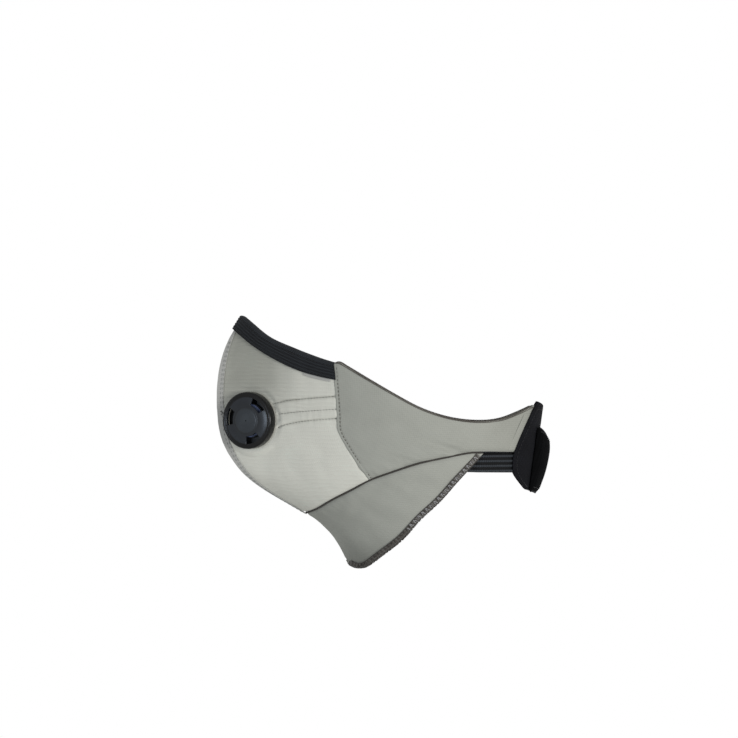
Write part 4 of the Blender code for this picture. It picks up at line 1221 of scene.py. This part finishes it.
# Closure: an end patch on each wing, and the hook tab on the left one.
# Each stitch is given as thread, pitch and length.
closure = {"patchThick": 1.0, "patchLow": -33.6, "patchHigh": 22.6, "midX": 1.2,
           "patchOver": 1.6, "rootX": 17.0, "endX": -25.0, "rootZ": -12.4, "tilt": 0.13,
           "bow": 5.6, "bowZ": -7.0, "bowUp": 17.5, "bowDown": 30.5, "halfTop": 21.2,
           "halfLow": 19.5, "tabOver": 4.3, "tabThick": 1.2, "hooksOver": 3.1,
           "hookPitch": 2.1, "hooksInset": 2.5, "stitch": (0.19, 2.8, 1.9), "hem": 2.2,
           "facing": (-3.6, -3.2, -2.0, -0.4, 1.6), "facingThick": 0.4, "facingOver": 0.85}


def makePatches():
    front = onSurface(lines["patchFront"])
    rear = uprightEdge(closure["patchLow"], closure["patchHigh"], closure["midX"], 1.5, 2.0)
    shares = np.linspace(0, 1, 160)[:, None]
    low, high = (front[end] + (rear[end] - front[end]) * shares for end in (0, -1))
    places = panelPlaces(front, rear, low, high, 0.9)
    u, v = np.moveaxis(clothPlace(places), -1, 0)
    edge = np.minimum.reduce(edgeDistances(lifted(places, 0.0)))
    middle = closure["patchOver"] + 0.12 * softNoise(u, v, 9, 21) - 0.18 * pinch(edge - 2.6, 0.6)
    hem = closure["hem"]
    runs = [toPlaces(evenly(lines["patchFront"], 120) + (hem, 0))[5:-5]]
    for z in (closure["patchLow"] + hem, closure["patchHigh"] - hem):
        start = findTurn(np.interp(z, *np.array(lines["patchFront"]).T[::-1]) + hem + 0.4, z)
        turns = np.linspace(start, turnAtX(4.0, z, 1.5, 2.0), 60)
        runs.append(np.column_stack([turns, np.full(60, z)]))
    parts = []
    for run in runs:
        points = lifted(run, closure["patchOver"] + closure["patchThick"] / 2)
        parts += stitchParts(points, normalsAt(run), *closure["stitch"])
    # the cloth is turned up along the front edge of the patch
    edge = np.array(lines["patchFront"][2:])
    strip = np.stack([onSurface(edge + (shift, 0.0), 80) for shift in closure["facing"]],
                     0)[:, 19:-16]
    finishes = ((1, "left", patchNylon, "end_patch_left", "black_patch"),
                (-1, "right", loopPile, "loop_patch_right", "loop_pile"))
    for side, word, material, node, slotName in finishes:
        wing = word + "_wing"
        mesh = panelMesh("wing_patch_" + word, places, closure["patchThick"], middle, side)
        addPiece("wing_patch_" + word, mesh, material, wing, [node])
        addParts("patch_stitches_" + word, parts, blackThread, wing, side=side)
        mesh = panelMesh("patch_facing_" + word, strip, closure["facingThick"],
                         closure["facingOver"], side)
        addPiece("patch_facing_" + word, mesh, sideWeave, wing)


def tabHeights(x, inset=0.0):
    part = np.clip((closure["rootX"] - x) / (closure["rootX"] - closure["endX"] - inset), 0, 1)
    middle = closure["rootZ"] - closure["tilt"] * (closure["rootX"] - x)
    upper = np.maximum((1 - part ** 1.6) ** (1 / 1.6), 0.03)
    lower = np.maximum((1 - part ** 2.6) ** (1 / 2.6), 0.03)
    return (middle - (closure["halfLow"] - inset) * lower,
            middle + (closure["halfTop"] - inset) * upper)


def tabPoints(x, z, height):
    # points and normals of the bowed tab over the nape
    x, z = np.broadcast_arrays(np.asarray(x, float), np.asarray(z, float))
    turn = turnAtX(np.maximum(np.abs(x), 0.01), z, 1.5, 2.0)
    across = np.clip((closure["rootX"] - x) / (closure["rootX"] - closure["endX"]), 0, 1)
    up = np.clip((z - closure["bowZ"]) / closure["bowUp"], 0, 1)
    down = np.clip((closure["bowZ"] - z) / closure["bowDown"], 0, 1)
    bow = closure["bow"] * np.sin(math.pi * across) ** 0.8 * (1 - up ** 2) * (1 - down ** 2)
    normal = normalOf(rawSurface, np.minimum(turn, 1.996), z)
    point = rawSurface(turn, z) + normal * (height + bow)[..., None]
    flip = np.stack([np.where(x >= 0, 1.0, -1.0), np.ones(x.shape), np.ones(x.shape)], -1)
    return point * flip, normal * flip


def tabGrid(xFrom, xTo, inset, columns, rows):
    share = np.linspace(0, 1, columns)
    x = xFrom + (xTo - xFrom) * (1 - (1 - share) ** 1.7)
    low, high = tabHeights(x, inset)
    up = np.concatenate([[0, 0.01, 0.03], np.linspace(0.06, 0.94, rows - 6), [0.97, 0.99, 1]])
    return x[:, None] + 0 * up[None], low[:, None] + (high - low)[:, None] * up[None]


def tabOutline(xFrom, xTo, inset, height, begin, power, count):
    # points and normals along the tab's round outline, closest together at its end
    xs = xFrom + (xTo - xFrom) * (1 - (1 - np.linspace(begin, 1, count)) ** power)
    low, high = tabHeights(xs, inset)
    line = np.concatenate([np.column_stack([xs, low]), np.column_stack([xs, high])[::-1]])
    return tabPoints(line[:, 0], line[:, 1], np.full(len(line), height))


def makeTab():
    x, z = tabGrid(closure["rootX"], closure["endX"], 0.0, 64, 46)
    base, _ = tabPoints(x, z, 0.0 * x)
    edge = np.minimum.reduce(edgeDistances(base))
    half = roundedHalf(edge, closure["tabThick"])
    middle = closure["tabOver"] + 0.12 * softNoise(x, z, 8, 22) - 0.2 * pinch(edge - 2.4, 0.5)
    middle -= 1.2 * pinch(edge, 1.7)
    layers = [tabPoints(x, z, middle + offset)[0] for offset in (half, -half)]
    mesh = shellMesh("closure_tab_cloth", *layers, np.stack([x, z], -1))
    addPiece("closure_tab_cloth", mesh, tabNylon, "closure_tab", ["hook_tab"])
    # bound rim and its stitches follow the round outline
    points, normals = tabOutline(closure["rootX"], closure["endX"], 0.0,
                                 closure["tabOver"] - 1.15, 0.02, 1.9, 90)
    even, _, up = alongPath(points, normals, 1.1)
    points, faces = tubeParts(even, up, 0.72, 10)
    mesh = meshOf("closure_tab_rim", points, faces, points[:, 1:])
    addPiece("closure_tab_rim", mesh, elasticKnit, "closure_tab")
    points, normals = tabOutline(closure["rootX"] - 2, closure["endX"] + 2.6, 2.4,
                                 closure["tabOver"] + closure["tabThick"] / 2 - 0.12,
                                 0.0, 1.8, 80)
    addParts("closure_tab_stitches", stitchParts(points, normals, *closure["stitch"]),
             blackThread, "closure_tab", side=1)


def makeHooks():
    # hook tape under the tab: a woven ground with rows of small bent nylon hooks
    start, end = closure["rootX"] - 13, closure["endX"] + closure["hooksInset"]
    x, z = tabGrid(start, end, closure["hooksInset"], 40, 30)
    layers = [tabPoints(x, z, np.full(x.shape, closure["hooksOver"] + thick))[0]
              for thick in (0.45, 0.0)]
    mesh = shellMesh("hook_ground", *layers, np.stack([x, z], -1))
    addPiece("hook_ground", mesh, hookNylon, "closure_tab", ["hook_strip"])
    # each hook as (down from the ground, ahead) places, and its girth there
    bends = ((-0.05, 0), (0.3, 0), (0.5, 0.16), (0.45, 0.42), (0.26, 0.5))
    girth = np.array((0.17, 0.15, 0.13, 0.12, 0.08))
    parts = []
    for rowX in np.arange(end + 1.5, start - 1.0, closure["hookPitch"]):
        low, high = tabHeights(rowX, closure["hooksInset"])
        heights = np.arange(float(low) + 1.2, float(high) - 1.0, closure["hookPitch"])
        if not len(heights):
            continue
        rootPoints, ups = tabPoints(np.full(len(heights), rowX), heights,
                                    np.full(len(heights), closure["hooksOver"]))
        for place, over in zip(rootPoints, ups):
            ahead = unit(np.cross(over, (1.0, 0.0, 0.0)))
            bent = [place - over * down + ahead * along for down, along in bends]
            parts.append(tubeParts(bent, np.tile(np.cross(over, ahead), (5, 1)), girth, 5))
    addParts("hook_rows", parts, hookNylon, "closure_tab", side=1)


makePatches()
makeTab()
makeHooks()
print("closure sewn")


# Exhaust valve, as (radius, height) sections along its axis.
valve = {
    "capOuter": ((0.4, 8.55), (2, 8.54), (4, 8.5), (6, 8.43), (7.4, 8.35), (7.9, 8.28),
                 (8.15, 8.02), (8.5, 7.92), (9.4, 7.94), (10.3, 7.95), (12.8, 7.78),
                 (15.2, 7.5), (15.7, 7.32), (16.1, 7.3), (16.5, 7.55), (17.0, 7.72),
                 (17.6, 7.68), (18.1, 7.4), (18.42, 6.9), (18.5, 6.2), (18.5, 4.2),
                 (18.5, 1.9), (18.38, 1.5)),
    "capInner": ((0.4, 6.9), (2, 6.9), (4, 6.88), (6, 6.85), (7.4, 6.8), (7.9, 6.75),
                 (8.15, 6.7), (8.5, 6.65), (9.4, 6.6), (10.3, 6.55), (12.8, 6.3),
                 (15.2, 5.9), (15.6, 5.8), (15.9, 5.7), (16.2, 5.6), (16.5, 5.5),
                 (16.8, 5.3), (17.0, 5.0), (17.1, 4.6), (17.2, 4.2), (17.2, 3.4),
                 (17.2, 1.9), (17.4, 1.5)),
    "windowAngles": (50, 170, 290), "windowSpan": 44, "windowIn": 10.3, "windowOut": 15.2,
    "seat": ((10, -4.35), (10.15, -4.45), (13.5, -4.45), (13.75, -4.3), (13.8, -4.0),
             (13.8, -3.3), (11.4, -3.25), (11.4, 3.3), (11.2, 3.58), (10.95, 3.6),
             (10.7, 3.45), (10, 3.4)),
    "flap": ((1.35, 3.95), (5, 3.9), (8, 3.88), (10.2, 3.9), (10.75, 4.0), (10.9, 4.2),
             (10.75, 4.4), (10.2, 4.45), (8, 4.4), (5, 4.42), (1.6, 4.55), (1.35, 4.45)),
    "pin": ((0.01, 1.2), (2.6, 1.2), (2.6, 3.3), (1.2, 3.5), (1.0, 3.8), (1.0, 5.84),
            (1.68, 5.92), (1.7, 6.08), (1.3, 6.28), (0.01, 6.3)),
    "collar": ((11.4, 0.95), (16.9, 0.95), (17.05, 1.1), (16.9, 1.3), (11.4, 1.3)),
    # blocks set round the axis: the bayonet's ledges in the cap and ears on the seat
    "ledges": {"radii": (12.0, 17.3), "heights": (1.6, 2.5), "angles": (0, 120, 240),
               "span": 34},
    "ears": {"radii": (10.8, 13.8), "heights": (2.8, 3.55), "angles": (0, 120, 240),
             "span": 34},
    "spokes": {"radii": (2.2, 10.4), "heights": (1.4, 3.2), "angles": (30, 120, 210, 300),
               "span": 9},
    "steps": 120, "softEdge": 0.25,
}


def turnedGrid(profile, count):
    # a (radius, height) section turned about the valve's axis
    angles = np.arange(count) * 2 * math.pi / count
    radius, height = np.array(profile, float).T
    return np.stack([radius[None] * np.cos(angles)[:, None],
                     radius[None] * np.sin(angles)[:, None],
                     np.broadcast_to(height, (count, len(height)))], -1)


def turnedParts(profile, count=96):
    rows = len(profile)
    faces = [(i * rows + j, (i + 1) % count * rows + j,
              (i + 1) % count * rows + (j + 1) % rows, i * rows + (j + 1) % rows)
             for i in range(count) for j in range(rows)]
    return turnedGrid(profile, count).reshape(-1, 3), faces


def blockParts(block, count=8):
    # blocks cut from a ring, such as spokes, ears or ledges, one at each angle
    radii, heights = block["radii"], block["heights"]
    corners = ((radii[0], heights[0]), (radii[1], heights[0]), (radii[1], heights[1]),
               (radii[0], heights[1]))
    faces = [(i * 4 + k, i * 4 + (k + 1) % 4, i * 4 + 4 + (k + 1) % 4, i * 4 + 4 + k)
             for i in range(count - 1) for k in range(4)]
    faces += [(3, 2, 1, 0), tuple(count * 4 - 4 + k for k in range(4))]
    parts = []
    for centre in block["angles"]:
        angles = np.radians(centre + block["span"] * (np.linspace(0, 1, count) - 0.5))
        points = [(r * math.cos(a), r * math.sin(a), h) for a in angles for r, h in corners]
        parts.append((np.array(points), faces))
    return parts


def capWindows():
    # which quads of the turned cap stay, with the vent windows left out
    count, radius = valve["steps"], np.array(valve["capOuter"])[:, 0]
    middle = (np.arange(count) + 0.5) * 360 / count
    keep = np.ones((count, len(radius) - 1), bool)
    ringIn = (radius[:-1] >= valve["windowIn"] - 0.01) & (radius[1:] <= valve["windowOut"] + 0.01)
    for centre in valve["windowAngles"]:
        apart = np.abs((middle - centre + 180) % 360 - 180) < valve["windowSpan"] / 2
        keep &= ~(apart[:, None] & ringIn[None])
    return keep


def placeValve(points, side):
    # from the valve's own axes to its place on the left or right cup
    across = unit(np.cross((0.0, 0.0, 1.0), valveAxis))
    turned = points @ np.stack([across, np.cross(valveAxis, across), valveAxis])
    return (valveCentre + turned) * (side, 1, 1)


def addValvePart(name, parts, side, material, body, replaces=()):
    points, faces = joined(parts)
    mesh = meshOf(name, placeValve(points, side), faces)
    addPiece(name, mesh, material, body, replaces)


def makeValves():
    layers = [turnedGrid(valve[name], valve["steps"]) for name in ("capOuter", "capInner")]
    keep = capWindows()
    radius = np.array(valve["capOuter"])[:, 0]
    reach = np.broadcast_to(radius[None, :, None], layers[0].shape[:2] + (2,))
    body = [turnedParts(valve["seat"]), turnedParts(valve["collar"])]
    body += blockParts(valve["ears"]) + blockParts(valve["spokes"], 3)
    body.append(turnedParts(valve["pin"], 32))
    for side, word in bothSides:
        outer, inner = (placeValve(layer, side) for layer in layers)
        mesh = shellMesh("valve_cover_" + word, outer, inner, reach, keep, ring=True)
        work = bmesh.new()
        work.from_mesh(mesh)
        rim = [edge for edge in work.edges if edge.is_boundary]
        bmesh.ops.holes_fill(work, edges=rim, sides=0)
        work.to_mesh(mesh)
        work.free()
        piece = addPiece("valve_cover_" + word, mesh, capPlastic,
                         "cap_" + word, ["valve_cap_" + word])
        edges = piece.modifiers.new("softEdges", "BEVEL")
        edges.width, edges.segments, edges.limit_method = valve["softEdge"] * mm, 2, "ANGLE"
        edges.angle_limit = math.radians(40)
        addValvePart("valve_ledges_" + word, blockParts(valve["ledges"]), side, ledgePlastic,
                     "cap_" + word)
        addValvePart("valve_body_" + word, body, side, seatPlastic,
                     "mask_front", ["valve_seat_" + word])
        addValvePart("valve_disc_" + word, [turnedParts(valve["flap"])], side, flapRubber,
                     "flap_" + word, ["valve_flap_" + word])


makeValves()
print("valves fitted")


def sheetArea(places):
    # area of the cut, in square metres
    points = lifted(places, 0.0) * mm
    a, b = points[1:, :-1] - points[:-1, :-1], points[:-1, 1:] - points[:-1, :-1]
    return float(np.linalg.norm(np.cross(a, b), axis=-1).sum())


def declareSheets():
    cupArea, sideArea = sheetArea(cupPlaces()), sheetArea(sidePlaces())
    chinArea = 2 * sheetArea(chinPlaces())
    print("areas", round(cupArea, 5), round(sideArea, 5), round(chinArea, 5))
    feltArea = 2 * sheetArea(filterPlaces()) - 2 * math.pi * (valveHole * mm) ** 2


declareSheets()


# Pale floor a little below the mask, a white surround and soft studio lights.
studio = {
    "floorZ": -0.215, "floorHalf": 0.44, "floor": "#e9e9e6", "ambient": 0.50,
    # each lamp: where it stands, its size in metres, its power and its colour
    "lamps": {"keyLight": ((1.6, 0.9, 0.05), 0.5, 20.0, (1.0, 1.0, 1.0)),
              "glossLight": ((1.15, -1.02, -0.02), 0.34, 3.4, (0.72, 0.84, 1.0)),
              "fillLight": ((-1.4, -1.2, 0.6), 1.4, 2.0, (1.0, 1.0, 1.0))},
    "lampsAim": (0.0, -0.01, -0.01)}


def addLight(name, place, size, power, colour):
    light = bpy.data.lights.new(name, "AREA")
    light.shape = "DISK"
    light.size, light.energy, light.color = size, power, colour
    lamp = bpy.data.objects.new(name, light)
    bpy.context.scene.collection.objects.link(lamp)
    lamp.location = place
    aim = Vector(studio["lampsAim"]) - Vector(place)
    lamp.rotation_euler = aim.to_track_quat("-Z", "Y").to_euler()


def makeStudio():
    half, z = studio["floorHalf"], studio["floorZ"]
    mesh = bpy.data.meshes.new("floor")
    mesh.from_pydata([(-half, -half, z), (half, -half, z), (half, half, z), (-half, half, z)],
                     [], [(0, 1, 2, 3)])
    floor = bpy.data.objects.new("floor", mesh)
    bpy.context.scene.collection.objects.link(floor)
    board, _, _ = newMaterial("paintedBoard", Roughness=0.8,
                              Base_Color=toLinear(studio["floor"]))
    mesh.materials.append(board)
    world = bpy.data.worlds.new("studio")
    world.use_nodes = True
    tree = world.node_tree
    tree.nodes.clear()
    seen = addNode(tree, "LightPath", {})
    strength = addNode(tree, "MapRange", {"To Min": studio["ambient"], "To Max": 1.0},
                       {"Value": seen.outputs["Is Camera Ray"]})
    glow = addNode(tree, "Background", {"Color": (1, 1, 1, 1)},
                   {"Strength": strength.outputs[0]})
    addNode(tree, "OutputWorld", {}, {"Surface": glow.outputs[0]})
    bpy.context.scene.world = world
    for name, lamp in studio["lamps"].items():
        addLight(name, *lamp)
    bpy.context.scene.view_settings.view_transform = "Standard"


makeStudio()
print("studio lit")
